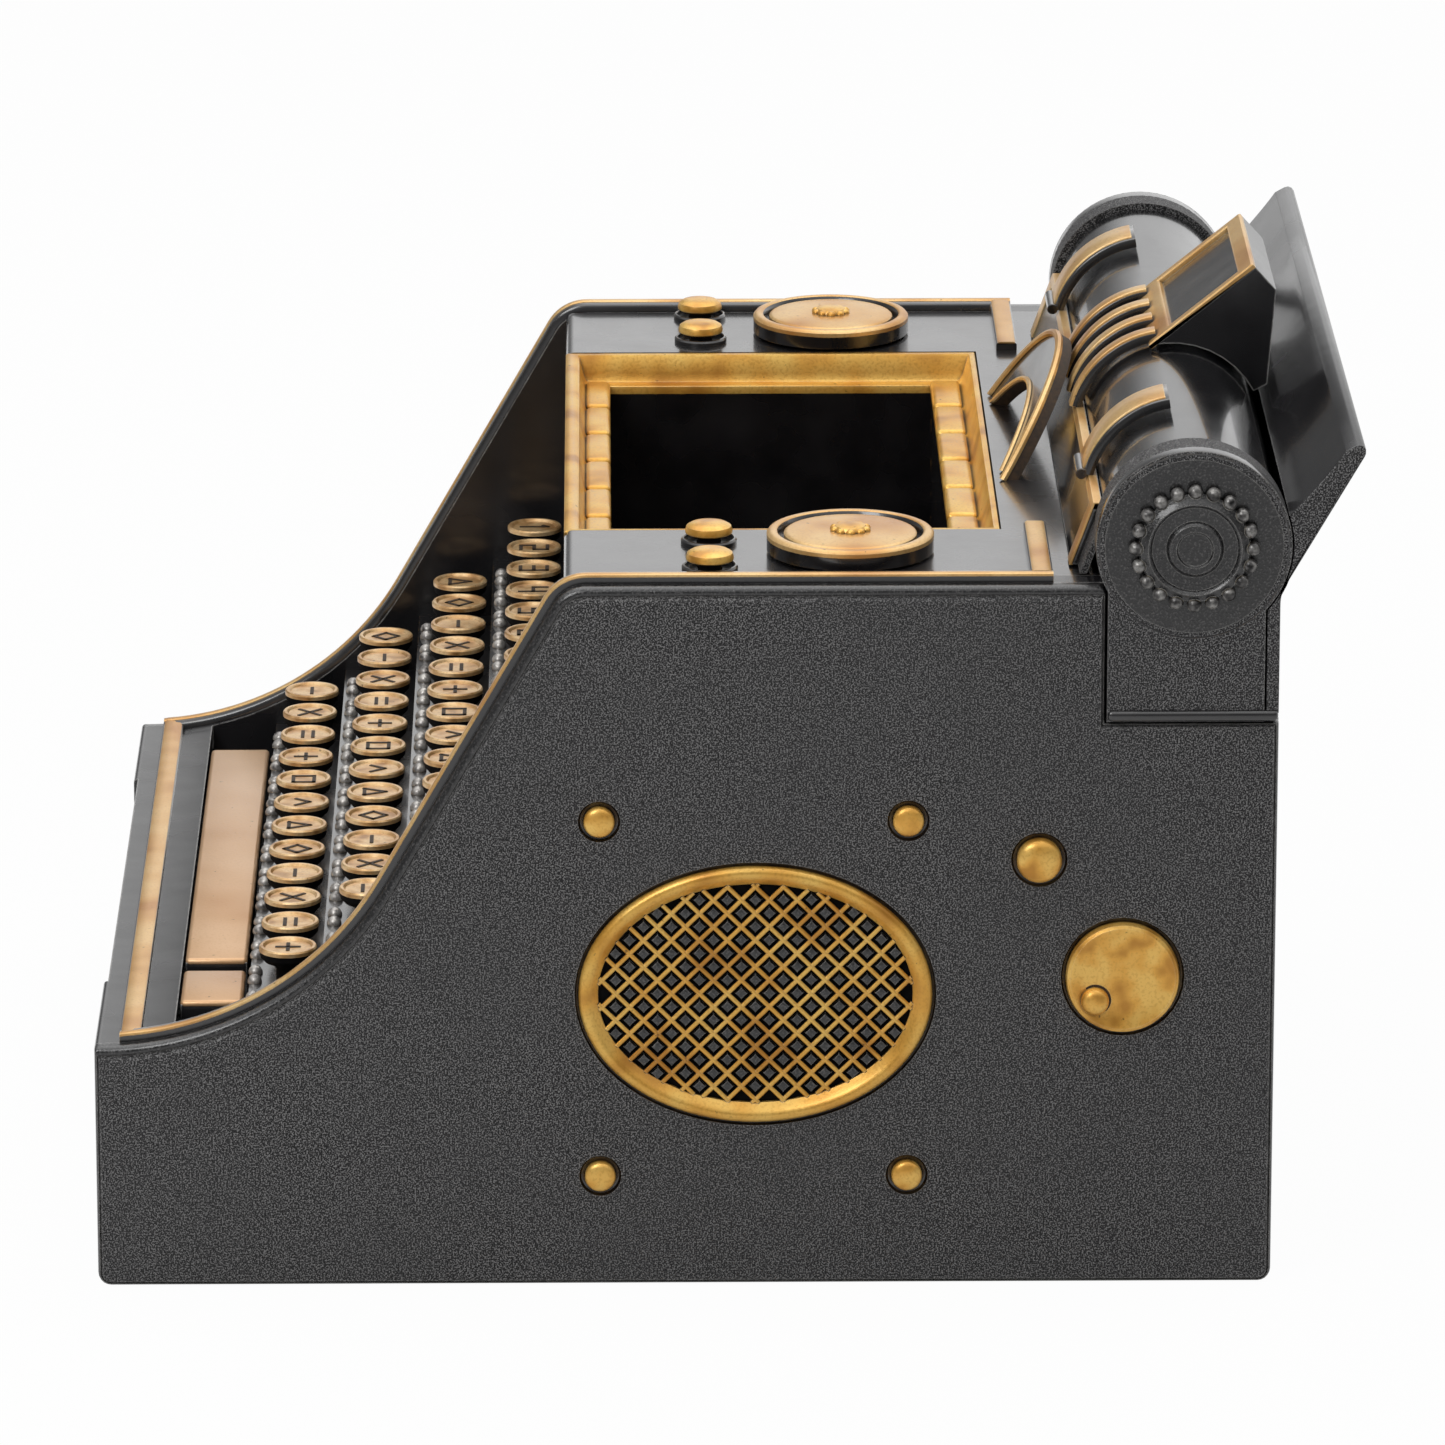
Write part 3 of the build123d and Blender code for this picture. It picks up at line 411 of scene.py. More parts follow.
def lathe(centre, axis, profile, count=48, first_cap=True, last_cap=True):
    """Solid turned round an axis: profile is (radius, place along the axis) from one end to the other."""
    loops = []
    for radius, along in profile:
        loop = []
        for u, v in circle(max(radius, 0.01), count):
            offset = {"x": (along, u, v), "y": (u, along, v), "z": (u, v, along)}[axis]
            loop.append(Vector(centre) + Vector(offset))
        loops.append(loop)
    return skin(loops, first_cap, last_cap)


def mirrored(groups, middle=0.0):
    """The groups on the other side of the machine, or of its carriage."""
    return [([(2 * middle - x, y, z) for x, y, z in vertices], [tuple(reversed(face)) for face in faces],
             material) for vertices, faces, material in groups]


def both_sides(groups, middle=0.0):
    return groups + mirrored(groups, middle)


def oval(x, y, z, radius, count, stretch=1.0):
    """Points of an upright oval that faces the side."""
    return [(x, y + u, z + v) for u, v in circle(radius, count, stretch)]


def rectangle(x_low, x_high, y_low, y_high, z):
    """Corner points of a level rectangle."""
    return [(x_low, y_low, z), (x_high, y_low, z), (x_high, y_high, z), (x_low, y_high, z)]


def block(low, high, edge=0.0, steps=2):
    """Box between two corners with rounded edges."""
    work = bmesh.new()
    bmesh.ops.create_cube(work, size=1.0)
    for vertex in work.verts:
        for axis in range(3):
            vertex.co[axis] = (low[axis] + high[axis]) / 2 + vertex.co[axis] * (high[axis] - low[axis])
    if edge:
        bmesh.ops.bevel(work, geom=work.edges[:], offset=edge, segments=steps, profile=0.5, affect="EDGES")
    work.verts.index_update()
    group = [v.co.copy() for v in work.verts], [[v.index for v in f.verts] for f in work.faces]
    work.free()
    return group


def post(x, y, half, foot, head, edge=0.0):
    """Upright square bar round (x, y)."""
    return block((x - half, y - half, foot), (x + half, y + half, head), edge, 1)


def rounded_loop(corners, inset=0.0):
    """Closed counter-clockwise loop from (y, z, radius, steps, share) corners, moved inwards.

    The edge that leaves a corner moves by its share of the inset.
    """
    count = len(corners)
    points = [Vector(corner[:2]) for corner in corners]
    ways = [(points[(i + 1) % count] - points[i]).normalized() for i in range(count)]
    inwards = [Vector((-way.y, way.x)) for way in ways]
    insets = [inset * corner[4] for corner in corners]
    loop = []
    for i, (_, _, radius, steps, _) in enumerate(corners):
        way_in, way_out = ways[i - 1], ways[i]
        normal_in, normal_out = inwards[i - 1], inwards[i]
        turned = normal_in.x * normal_out.y - normal_in.y * normal_out.x
        corner = points[i] + Vector((insets[i - 1] * normal_out.y - insets[i] * normal_in.y,
                                     insets[i] * normal_in.x - insets[i - 1] * normal_out.x)) / turned
        turn = math.atan2(turned, way_in.dot(way_out))
        side = 1 if turn > 0 else -1
        bend = max(radius - side * (insets[i - 1] + insets[i]) / 2, 0.02) if radius else 0.02
        start = corner - way_in * bend * math.tan(abs(turn) / 2)
        centre = start + normal_in * side * bend
        for step in range(steps + 1):
            angle = turn * step / steps
            arm = start - centre
            loop.append((centre.x + arm.x * math.cos(angle) - arm.y * math.sin(angle),
                         centre.y + arm.x * math.sin(angle) + arm.y * math.cos(angle)))
    return loop


def bevelled_prism(points, x_low, x_high, edge):
    """Prism across the machine with a (y, z) section and bevelled end edges, as (ends, sides) groups."""
    work = bmesh.new()
    base = work.faces.new([work.verts.new((x_low, y, z)) for y, z in points])
    made = bmesh.ops.extrude_face_region(work, geom=[base], use_keep_orig=True)
    moved_vertices = [item for item in made["geom"] if isinstance(item, bmesh.types.BMVert)]
    bmesh.ops.translate(work, verts=moved_vertices, vec=(x_high - x_low, 0, 0))
    bmesh.ops.recalc_face_normals(work, faces=work.faces)
    rims = [e for e in work.edges if abs(e.verts[0].co.x - e.verts[1].co.x) < 1e-6]
    bmesh.ops.bevel(work, geom=rims, offset=edge, segments=2, profile=0.5, affect="EDGES", clamp_overlap=True)
    work.verts.index_update()
    vertices = [v.co.copy() for v in work.verts]
    ends = [[v.index for v in f.verts] for f in work.faces if abs(f.normal.x) > 0.9]
    sides = [[v.index for v in f.verts] for f in work.faces if abs(f.normal.x) <= 0.9]
    work.free()
    return (vertices, ends), (vertices, sides)


def cabinet_loop(inset, plain=1.0):
    """Side outline of the cabinet as (y, z) points; plain is the share of the inset off the top run."""
    notch = min(plain, 0.35)
    return rounded_loop([
        (FRONT, 0, FOOT_RADIUS, 5, plain),
        (REAR, 0, FOOT_RADIUS, 5, plain),
        (REAR, NOTCH_FLOOR, 0.6, 2, notch),
        (NOTCH_FRONT, NOTCH_FLOOR, 0, 1, notch),
        (NOTCH_FRONT, DECK, 1.6, 4, 1.0),
        (SLOPE_HEAD, DECK, SHOULDER_RADIUS, 10, 1.0),
        (SWEEP_CORNER, FRONT_HEIGHT, SWEEP_RADIUS, 28, 1.0),
        (FRONT, FRONT_HEIGHT, 0.9, 3, plain),
    ], inset)


# ---------- side panels

# (inset, distance from the inner face) from the cheek to the flat of the panel
EDGE_RINGS = ((0, 0), (0, 1.5), (0.15, 2.2), (0.5, 2.8), (1.0, 3.15), (1.5, 3.25), (1.9, 3.1), (2.1, 2.8))
FACE_RINGS = ((2.1, 2.8), (2.3, 2.8), (2.45, 3.3), (2.75, 3.8), (3.2, 4.0), (3.6, 4.0))
PLAIN_EDGE = 0.4
SEAT_DEPTH = 0.9
# (distance outside the seated piece, height) from the panel's face to the bottom of a seat
SEAT_RINGS = ((1.3, 0.0), (1.15, -0.3), (0.8, -0.75), (0.15, -SEAT_DEPTH), (0.1, -4.0))


_, GRILLE_Y, GRILLE_Z = centre_of("grille_right")
grille_low, grille_high = span("grille_right")
GRILLE_LONG = (grille_high.y - grille_low.y) / 2
GRILLE_HIGH = (grille_high.z - grille_low.z) / 2
studs_low, studs_high = span("side_studs")
STUD_RADIUS = 3.5
STUD_PLACES = [(y, z) for y in (studs_low.y + STUD_RADIUS, studs_high.y - STUD_RADIUS)
               for z in (studs_low.z + STUD_RADIUS, studs_high.z - STUD_RADIUS)]
_, BUTTON_Y, BUTTON_Z = centre_of("side_button")
_, DIAL_Y, DIAL_Z = centre_of("side_dial")
BUTTON_RADIUS = 5.1
DIAL_RADIUS = 13.0


def panel(seats):
    """Right side panel: glossy edge, sunk line and (y, z, radius, stretch, share) seats in its face."""
    edge_loops, face_loops = ([[(PANEL_IN + x, y, z) for y, z in cabinet_loop(inset, PLAIN_EDGE)]
                               for inset, x in rings] for rings in (EDGE_RINGS, FACE_RINGS))
    # The rounded edge takes the knob paint, whose painted highlight draws the bright line along its crest.
    groups = [(*skin(edge_loops, True, False), KNOB), (*skin(face_loops, False, False), CASTING)]
    holes = [face_loops[-1]]
    for y, z, radius, stretch, share in seats:
        count = 72 if radius > DIAL_RADIUS else 32
        rings = []
        for extra, depth in SEAT_RINGS:
            wide = radius + extra * share
            high = radius * stretch + extra * share
            rings.append(oval(PANEL_OUT + depth, y, z, wide, count, high / wide))
        # Seat pockets in black enamel: painted shade in the recess round each fitting.
        groups.append((*skin(rings, False, False), ENAMEL))
        holes.append(list(reversed(rings[0])))
    points = [point for loop in holes for point in loop]
    triangles = tessellate_polygon([[Vector(point) for point in loop] for loop in holes])
    groups.append((points, [tuple(triangle) for triangle in triangles], CASTING))
    return groups


def welded(made):
    """Joins vertices that lie on each other, for smooth shading across them; side faces stay flat."""
    work = bmesh.new()
    work.from_mesh(made.data)
    bmesh.ops.remove_doubles(work, verts=work.verts, dist=WELD_DISTANCE * MM)
    bmesh.ops.recalc_face_normals(work, faces=work.faces)
    for face in work.faces:
        if abs(face.normal.x) > SIDE_FACE:
            face.smooth = False
    work.to_mesh(made.data)
    work.free()


common_seats = [(GRILLE_Y, GRILLE_Z, GRILLE_LONG, GRILLE_HIGH / GRILLE_LONG, 0.7)]
common_seats += [(y, z, STUD_RADIUS, 1.0, 1.0) for y, z in STUD_PLACES]
right_seats = common_seats + [(BUTTON_Y, BUTTON_Z, BUTTON_RADIUS, 1.0, 1.0),
                              (DIAL_Y, DIAL_Z, DIAL_RADIUS, 1.0, 0.8)]
for side, groups in (("left", mirrored(panel(common_seats))), ("right", panel(right_seats))):
    welded(piece(f"panel_{side}", "cabinet", groups, [f"side_panel_{side}"]))


# ---------- side fittings

LATTICE_PITCH = 4.48
LATTICE_BAR = 1.05
LATTICE_FLOOR = -1.6
RIM_SECTION = ((0, -3.0), (0, 0.2), (0.3, 0.85), (0.9, 1.35), (1.6, 1.5), (2.3, 1.35), (3.0, 0.8), (3.7, 0.1),
               (4.4, -0.6), (4.4, -3.0))
RIM_WIDTH = 4.4
POINT_RINGS = ((1.6, 0.0), (1.55, 0.55), (1.25, 0.85), (0.5, 1.0))
POINT_MARGIN = 1.2


def grille():
    """Oval grille: round rim, black floor, crossed gold bars and a black point in each square."""
    def ring(inset, x):
        long, high = GRILLE_LONG - inset, GRILLE_HIGH - inset
        return oval(PANEL_OUT + x, GRILLE_Y, GRILLE_Z, long, 96, high / long)

    def lattice_loop(x, corners):
        return [(PANEL_OUT + x, GRILLE_Y + y, GRILLE_Z + z) for y, z in corners]

    inner = RIM_WIDTH - 0.1
    long, high = GRILLE_LONG - inner, GRILLE_HIGH - inner
    groups = [(*skin([ring(*step) for step in RIM_SECTION], True, False), FRAME_GOLD),
              (*skin([ring(inner, LATTICE_FLOOR - 1.0), ring(inner, LATTICE_FLOOR)]), BLACK)]
    reach = math.floor(long / LATTICE_PITCH)
    for slant, top in ((1, -0.25), (-1, -0.2)):
        along = Vector((1, slant)).normalized()
        across = Vector((-slant, 1)).normalized()
        for number in range(-reach, reach + 1):
            ends = ellipse_chord(across * number * LATTICE_PITCH, along, long, high)
            if ends is None:
                continue
            loops = []
            for half, x in ((LATTICE_BAR / 2, LATTICE_FLOOR), (LATTICE_BAR / 2, top - 0.4),
                            (LATTICE_BAR / 3, top - 0.1), (LATTICE_BAR / 6, top)):
                side = across * half
                corners = ends[0] - side, ends[1] - side, ends[1] + side, ends[0] + side
                loops.append(lattice_loop(x, corners))
            groups += [(*skin(loops[:2], False, False), BLACK), (*skin(loops[1:], False, True), FRAME_GOLD)]
    for row in range(-reach, reach + 1):
        for column in range(-reach, reach + 1):
            u, v = (column + 0.5) * LATTICE_PITCH, (row + 0.5) * LATTICE_PITCH
            y, z = (u - v) / math.sqrt(2), (u + v) / math.sqrt(2)
            if (y / (long - POINT_MARGIN)) ** 2 + (z / (high - POINT_MARGIN)) ** 2 < 1:
                loops = [lattice_loop(LATTICE_FLOOR + x, [(y + u, z + v) for u, v in circle(half, 4)])
                         for half, x in POINT_RINGS]
                groups.append((*skin(loops, False, True), KNOB))
    return groups


def ellipse_chord(point, way, long, high):
    """Both ends of a line through point, inside an ellipse at the origin, or None."""
    a = (way.x / long) ** 2 + (way.y / high) ** 2
    b = 2 * (point.x * way.x / long ** 2 + point.y * way.y / high ** 2)
    c = (point.x / long) ** 2 + (point.y / high) ** 2 - 1
    root = b * b - 4 * a * c
    if root <= 0:
        return None
    root = math.sqrt(root)
    return point + way * (-b - root) / (2 * a), point + way * (-b + root) / (2 * a)


right_grille = grille()
for side, groups in (("right", right_grille), ("left", mirrored(right_grille))):
    piece(f"grille_casting_{side}", "cabinet", groups, [f"grille_{side}"])


def dome(radius, proud, below):
    """Profile of a low round head: a straight side, a rounded shoulder and a crown."""
    profile = [(radius, -below), (radius, proud * 0.35)]
    for step in range(1, 7):
        angle = math.pi / 2 * step / 6
        profile.append((radius * math.cos(angle) ** 0.8 if step < 6 else 0,
                        proud * (0.35 + 0.65 * math.sin(angle))))
    return profile


stud_groups = [(*lathe((PANEL_OUT, y, z), "x", dome(STUD_RADIUS, 2.0, 3.5), 28), GOLD)
               for y, z in STUD_PLACES]
piece("studs", "cabinet", both_sides(stud_groups), ["side_studs"])

button = lathe((PANEL_OUT, BUTTON_Y, BUTTON_Z), "x", dome(BUTTON_RADIUS, 3.0, 9.5), 40)
piece("push_button", "side_button", [(*button, GOLD)], ["side_button"])

CRANK_Y, CRANK_Z, CRANK_RADIUS = -6.3, -5.2, 3.2
dial_profile = [(3.0, -9.8), (3.0, -3.7), (DIAL_RADIUS - 0.1, -3.7), (DIAL_RADIUS - 0.1, 0.9),
                (DIAL_RADIUS - 0.4, 1.6), (DIAL_RADIUS - 1.1, 2.0), (DIAL_RADIUS - 1.9, 1.85),
                (DIAL_RADIUS - 3.0, 1.4), (DIAL_RADIUS - 6, 1.2), (0, 1.15)]
dial = lathe((PANEL_OUT, DIAL_Y, DIAL_Z), "x", dial_profile, 64)
crank = (PANEL_OUT + 1.15, DIAL_Y + CRANK_Y, DIAL_Z + CRANK_Z)
# Painted shade: a thin flat dark ring round the crank pin, in place of a shaded groove.
pin_shade_ring = lathe(crank, "x", [(CRANK_RADIUS + 0.55, 0.0), (CRANK_RADIUS + 0.45, 0.16), (CRANK_RADIUS, 0.16)],
                 32)
pin = lathe(crank, "x", dome(CRANK_RADIUS, 3.0, 0.0), 32)
piece("dial", "side_dial", [(*dial, GOLD), (*pin_shade_ring, MARK), (*pin, GOLD)], ["side_dial"])


# ---------- gold band

BAND_WIDTH = 5.0
trim_low, trim_high = span("edge_trim")
BAND_FRONT = trim_low.y
BAND_REAR = trim_high.y
BAND_OUT = trim_high.x
BAND_BASE = ((0, -0.2), (0, 1.1), (0.3, 1.6), (1.0, 1.8), (2.4, 1.85), (5.0, 1.6), (5.0, -0.2))
BAND_CREST = ((2.5, 1.4), (2.55, 1.9), (2.9, 2.15), (3.4, 2.2), (4.4, 2.2), (4.85, 2.0), (5.02, 1.5))
BAND_FLAT = ((0.25, 1.5), (0.35, 1.95), (0.8, 2.2), (4.2, 2.2), (4.65, 1.95), (4.75, 1.5))
BAND_SIDES = ((0, -0.2), (0, 1.6), (0.25, 1.8), (4.75, 1.8), (5.0, 1.6), (5.0, -0.2))


def band_along(section):
    """A strip that follows a cheek, from the deck down to the front shelf."""
    covered = [i for i, (y, z) in enumerate(cabinet_loop(0))
               if z > FRONT_HEIGHT - 0.1 and BAND_FRONT <= y <= BAND_REAR]
    sections = []
    for x, rise in section:
        outline = cabinet_loop(-rise)
        run = [(BAND_REAR, DECK + rise)] + [outline[i] for i in covered] + [(BAND_FRONT, FRONT_HEIGHT + rise)]
        sections.append([(BAND_OUT - BAND_WIDTH + x, y, z) for y, z in run])
    return skin([list(loop) for loop in zip(*sections)])


def bar_across(section, x_low, x_high, y_low, z):
    """Straight length of band lying across the machine."""
    return skin([[(x, y_low + y, z + rise) for y, rise in section] for x in (x_low, x_high)])


trim_groups = []
inner_edge = BAND_OUT - BAND_WIDTH + 0.5
for section, material in ((BAND_BASE, ENAMEL), (BAND_CREST, TRIM)):
    trim_groups += both_sides([(*band_along(section), material)])
for section, material, overlap in ((BAND_SIDES, ENAMEL, 0), (BAND_FLAT, TRIM, 2.2)):
    reach = inner_edge + overlap
    trim_groups.append((*bar_across(section, -reach, reach, BAND_FRONT, FRONT_HEIGHT), material))
    deck_bar = bar_across(section, well_high.x + 1.0, reach, BAND_REAR - BAND_WIDTH, DECK)
    trim_groups += both_sides([(*deck_bar, material)])
piece("gold_band", "cabinet", trim_groups, ["edge_trim"])


# ---------- keys

KEY_RADIUS = 6.65
KEY_STEM = 4.0
KEY_COLUMNS = 12
TREAD_DEPTH = 14.0     # from a key's top down to its tread
NECK_DEPTH = -8.6      # high enough that the round neck stays off the tread when the key is down
MARK_SIZE = 1.25
MARK_WIDTH = 0.85
MARK_RISE = 0.16
DISH = 0.55


def key(x, y, top, foot, mark):
    """One key: dished gold disc in a black cup, on a round neck and a square stem."""
    disc = [(0.0, -DISH), (5.2, -DISH), (5.5, -0.2), (5.75, 0.0), (6.35, 0.0), (KEY_RADIUS, -0.35),
            (KEY_RADIUS, -1.2)]
    cup = [(KEY_RADIUS - 0.1, -1.15), (KEY_RADIUS - 0.25, -2.6), (5.4, -3.7), (3.4, -4.6), (2.8, -5.6),
           (2.8, NECK_DEPTH)]
    stem = post(x, y, KEY_STEM / 2, foot, top + NECK_DEPTH + 0.1, 0.3)
    groups = [(*lathe((x, y, top), "z", disc, 48), KEY_GOLD), (*lathe((x, y, top), "z", cup, 32), BLACK),
              (*stem, BLACK)]
    for start, end in mark:
        groups.append((*stroke(x, y, top - DISH, Vector(start) * MARK_SIZE, Vector(end) * MARK_SIZE), MARK))
    return groups


def stroke(x, y, z, start, end):
    """A thin raised line from one point to another on a key top."""
    way = (end - start).normalized() * MARK_WIDTH / 2
    across = Vector((-way.y, way.x))
    corners = [start - way - across, end + way - across, end + way + across, start - way + across]
    loops = [[(x + c.x, y + c.y, height) for c in corners] for height in (z, z + MARK_RISE)]
    return skin(loops, False, True)


def marks(*drawings):
    """For each drawing, the (start, end) lines of its open or closed paths of points."""
    return [[line for path in paths for line in zip(path[:-1], path[1:])] for paths in drawings]


A, B, C, D, E, F = (-1.5, 2.6), (1.5, 2.6), (-1.5, 0.0), (1.5, 0.0), (-1.5, -2.6), (1.5, -2.6)
DIGITS = marks([((-0.9, 1.8), (0, 2.6), (0, -2.6))], [(A, B, D, C, E, F)], [(A, B, D, C), (D, F, E)],
               [(A, C, D), (B, F)], [(B, A, C, D, F, E)], [(B, A, E, F, D, C)], [(A, B, F)],
               [(A, B, F, E, A), (C, D)], [(D, C, A, B, F, E)], [(A, B, F, E, A)])
DASH = (-2, 0), (2, 0)
SHAPES = marks([DASH], [DASH, ((0, -2), (0, 2))], [((-2, -2), (2, -2), (0, 2), (-2, -2))],
               [((-2, -2), (2, 2)), ((-2, 2), (2, -2))], [((-2, -2), (2, -2), (2, 2), (-2, 2), (-2, -2))],
               [((0, 2.4), (2.4, 0), (0, -2.4), (-2.4, 0), (0, 2.4))],
               [((-2, 1), (2, 1)), ((-2, -1), (2, -1))], [((-2, -1), (0, 1.5), (2, -1))])

first_key_x = centre_of("key_1_01")[0]
key_pitch = (centre_of("key_1_12")[0] - first_key_x) / (KEY_COLUMNS - 1)
KEY_ROWS = ("key_1_01", "key_row_2", "key_row_3", "key_row_4")


def key_mark(row, column):
    """Digits on the rear row and plain shapes on the others."""
    if row == len(KEY_ROWS) - 1:
        return DIGITS[column] if column < len(DIGITS) else SHAPES[column % len(SHAPES)]
    return SHAPES[(column * 3 + row * 5) % len(SHAPES)]


STUD_AHEAD = 8.3
STUD_SPREAD = 3.4
STUD_PROFILE = [(1.7, -0.1), (1.65, 0.6), (1.3, 1.3), (0.7, 1.75), (0, 1.85)]
tread_studs = []
for row, node in enumerate(KEY_ROWS):
    low, high = span(node)
    row_y = centre_of(node)[1]
    row_groups = []
    for column in range(KEY_COLUMNS):
        x = first_key_x + column * key_pitch
        for shift in (-STUD_SPREAD, STUD_SPREAD):
            place = (x + shift, row_y - STUD_AHEAD, high.z - TREAD_DEPTH)
            tread_studs.append((*lathe(place, "z", STUD_PROFILE, 12), STUD))
        groups = key(x, row_y, high.z, low.z, key_mark(row, column))
        if row == 0:
            name = f"key_1_{column + 1:02d}"
            piece(f"front_{name}", name, groups, [name])
        row_groups += groups
    if row:
        piece(f"keys_{row + 1}", node, row_groups, [node])
piece("tread_studs", "cabinet", tread_studs)


# ---------- bars

BAR_DEPTH = 8.0
for name in ("space_bar", "shift_bar"):
    low, high = span(name)
    x, y, _ = centre_of(name)
    body = block((low.x, low.y, high.z - BAR_DEPTH), (high.x, high.y, high.z - 0.9), 0.4)
    cap = block((low.x, low.y, high.z - 2.2), high, 1.0, 3)
    groups = [(*body, REST), (*cap, BRONZE)]
    reach = (high.x - low.x) / 2 - key_pitch
    for shift in ((reach, -reach) if name == "space_bar" else (0.0,)):
        groups.append((*post(x + shift, y, 2.0, low.z, high.z - BAR_DEPTH), ENAMEL))
    piece(f"{name}_lever", name, groups, [name])


# ---------- spools and deck buttons

SPOOL_RADIUS = 19.0
SPOOL_RIM = [(SPOOL_RADIUS - inset, rise) for inset, rise in ((0, 3.5), (0, 4.5), (0.4, 5.0), (1.0, 5.2),
                                                              (2.0, 5.2), (2.4, 5.0))]
SPOOL_GROOVE = [SPOOL_RIM[-1], (SPOOL_RADIUS - 2.6, 2.6), (15.2, 2.6)]
SPOOL_DISC = [(15.1, 2.5), (15.1, 4.5), (14.8, 4.8), (14.2, 4.95), (9, 5.15), (3.9, 5.2)]
NUT = [(4.0, 5.15), (3.9, 5.7), (3.4, 6.3), (2.4, 6.55), (0, 6.6)]
NUT_LUMPS = 10
NUT_CIRCLE = 3.7
LUMP = [(1.1, 0), (1.05, 0.6), (0.8, 1.0), (0.4, 1.2), (0, 1.25)]
for name in ("spool_left", "spool_right"):
    x, y, _ = centre_of(name)
    drum = [(3.0, span(name)[0].z - DECK), (3.0, 0.3), (SPOOL_RADIUS - 0.5, 0.3), (SPOOL_RADIUS, 0.7),
            (SPOOL_RADIUS, 3.6)]
    groups = []
    for profile, material in ((drum, ENAMEL), (SPOOL_RIM, TRIM), (SPOOL_GROOVE, ENAMEL), (SPOOL_DISC, TRIM),
                              (NUT, GOLD)):
        count = 24 if profile is NUT else 72
        turned = lathe((x, y, DECK), "z", profile, count, profile is drum, profile is NUT)
        groups.append((*turned, material))
    for u, v in circle(NUT_CIRCLE, NUT_LUMPS):
        groups.append((*lathe((x + u, y + v, DECK + 5.0), "z", LUMP, 12), GOLD))
    welded(piece(f"{name}_top", name, groups, [name]))

BUTTON_HEAD = [(5.0, 2.3), (5.4, 2.6), (5.4, 3.3), (5.1, 4.1), (4.2, 4.65), (2.6, 4.93), (0, 5.0)]
COLLAR = [(6.4, 0), (6.4, 0.9), (6.1, 1.3), (5.75, 1.4), (5.6, 1.2), (5.6, 0)]
collars = []
for number in (1, 2, 3, 4):
    name = f"deck_button_{number}"
    x, y, _ = centre_of(name)
    stem = post(x, y, 2.5, span(name)[0].z, DECK + 2.5)
    head = lathe((x, y, DECK), "z", BUTTON_HEAD, 40)
    piece(f"button_{number}", name, [(*head, GOLD), (*stem, ENAMEL)], [name])
    collars.append((*lathe((x, y, DECK), "z", COLLAR, 40, False, False), ENAMEL))
piece("collars", "cabinet", collars, ["button_collars"])


# ---------- well frame

# Widths at the sides, the front and the rear
WALL = (2.0, 3.5, 2.0)
LEDGE = (5.0, 7.0, 9.0)
LEDGE_DROP = 6.6
# (share of the wall, share of the ledge, depth below the deck) from the outside to the opening
FRAME_SECTION = ((0, 0, 8.6), (0, 0, 0.5), (0.15, 0, 0.12), (0.4, 0, 0.0), (0.75, 0, 0.15), (0.95, 0, 0.7),
                 (1.0, 0.12, 4.6), (1.0, 0.2, 6.0), (1.0, 0.3, 6.5), (1.0, 0.45, LEDGE_DROP),
                 (1.0, 0.9, LEDGE_DROP), (1.0, 0.97, 6.8), (1.0, 1.0, 7.4), (1.0, 1.0, 8.6))
TEETH = 6
TOOTH_PITCH = 25.0
TOOTH_HALF = 11.7
TOOTH_LOW = DECK - LEDGE_DROP - 1.5
TOOTH_HIGH = DECK - LEDGE_DROP + 1.5
frame_loops = []
for wall, ledge, depth in FRAME_SECTION:
    side_in, front_in, rear_in = (w * wall + l * ledge for w, l in zip(WALL, LEDGE))
    frame_loops.append(rectangle(well_low.x + side_in, well_high.x - side_in, well_low.y + front_in,
                                 well_high.y - rear_in, DECK - depth))
frame_groups = [(*skin(frame_loops, False, False), FRAME_GOLD)]
front_wall, rear_wall = well_low.y + WALL[1], well_high.y - WALL[2]
for number in range(TEETH):
    x = (number - (TEETH - 1) / 2) * TOOTH_PITCH
    for y_low, y_high in ((front_wall + 1.2, front_wall + LEDGE[1] + 0.3),
                          (rear_wall - LEDGE[2] - 0.3, rear_wall - 2.0)):
        tooth = block((x - TOOTH_HALF, y_low, TOOTH_LOW), (x + TOOTH_HALF, y_high, TOOTH_HIGH), 1.3, 4)
        frame_groups.append((*tooth, FRAME_GOLD))
piece("well_rim", "cabinet", frame_groups, ["well_frame"])


# ---------- carriage

front_low, front_high = span("front_plate")
# Strips that wrap the platen: radii, height of the foot, angle of the head and depth of the gold face
WRAP_INNER = 21.6
WRAP_OUTER = 24.3
WRAP_FOOT = front_high.z + 0.3
WRAP_HEAD = 99.0
WRAP_FACE = 1.2
WRAP_STEPS = 22


def around_platen(radius, angle):
    """(y, z) at a radius and an angle round the platen's axis."""
    return PLATEN_Y + radius * math.cos(angle), PLATEN_Z + radius * math.sin(angle)


def arc_blade(x_low, x_high, inner, outer, head_angle, edge):
    """Strip bent round the platen between two radii, with rounded outer edges."""
    side = [(x_low, inner), (x_low, inner + edge), (x_low, outer - edge),
            (x_low + edge * 0.4, outer - edge * 0.3), (x_low + edge * 1.1, outer)]
    section = side + [(x_low + x_high - x, radius) for x, radius in reversed(side)]
    foot_angle = math.pi - math.asin((WRAP_FOOT - PLATEN_Z) / outer)
    head = math.radians(head_angle)
    angles = [foot_angle + (head - foot_angle) * step / WRAP_STEPS for step in range(WRAP_STEPS + 1)]
    return skin([[(x, *around_platen(radius, angle)) for x, radius in section] for angle in angles])


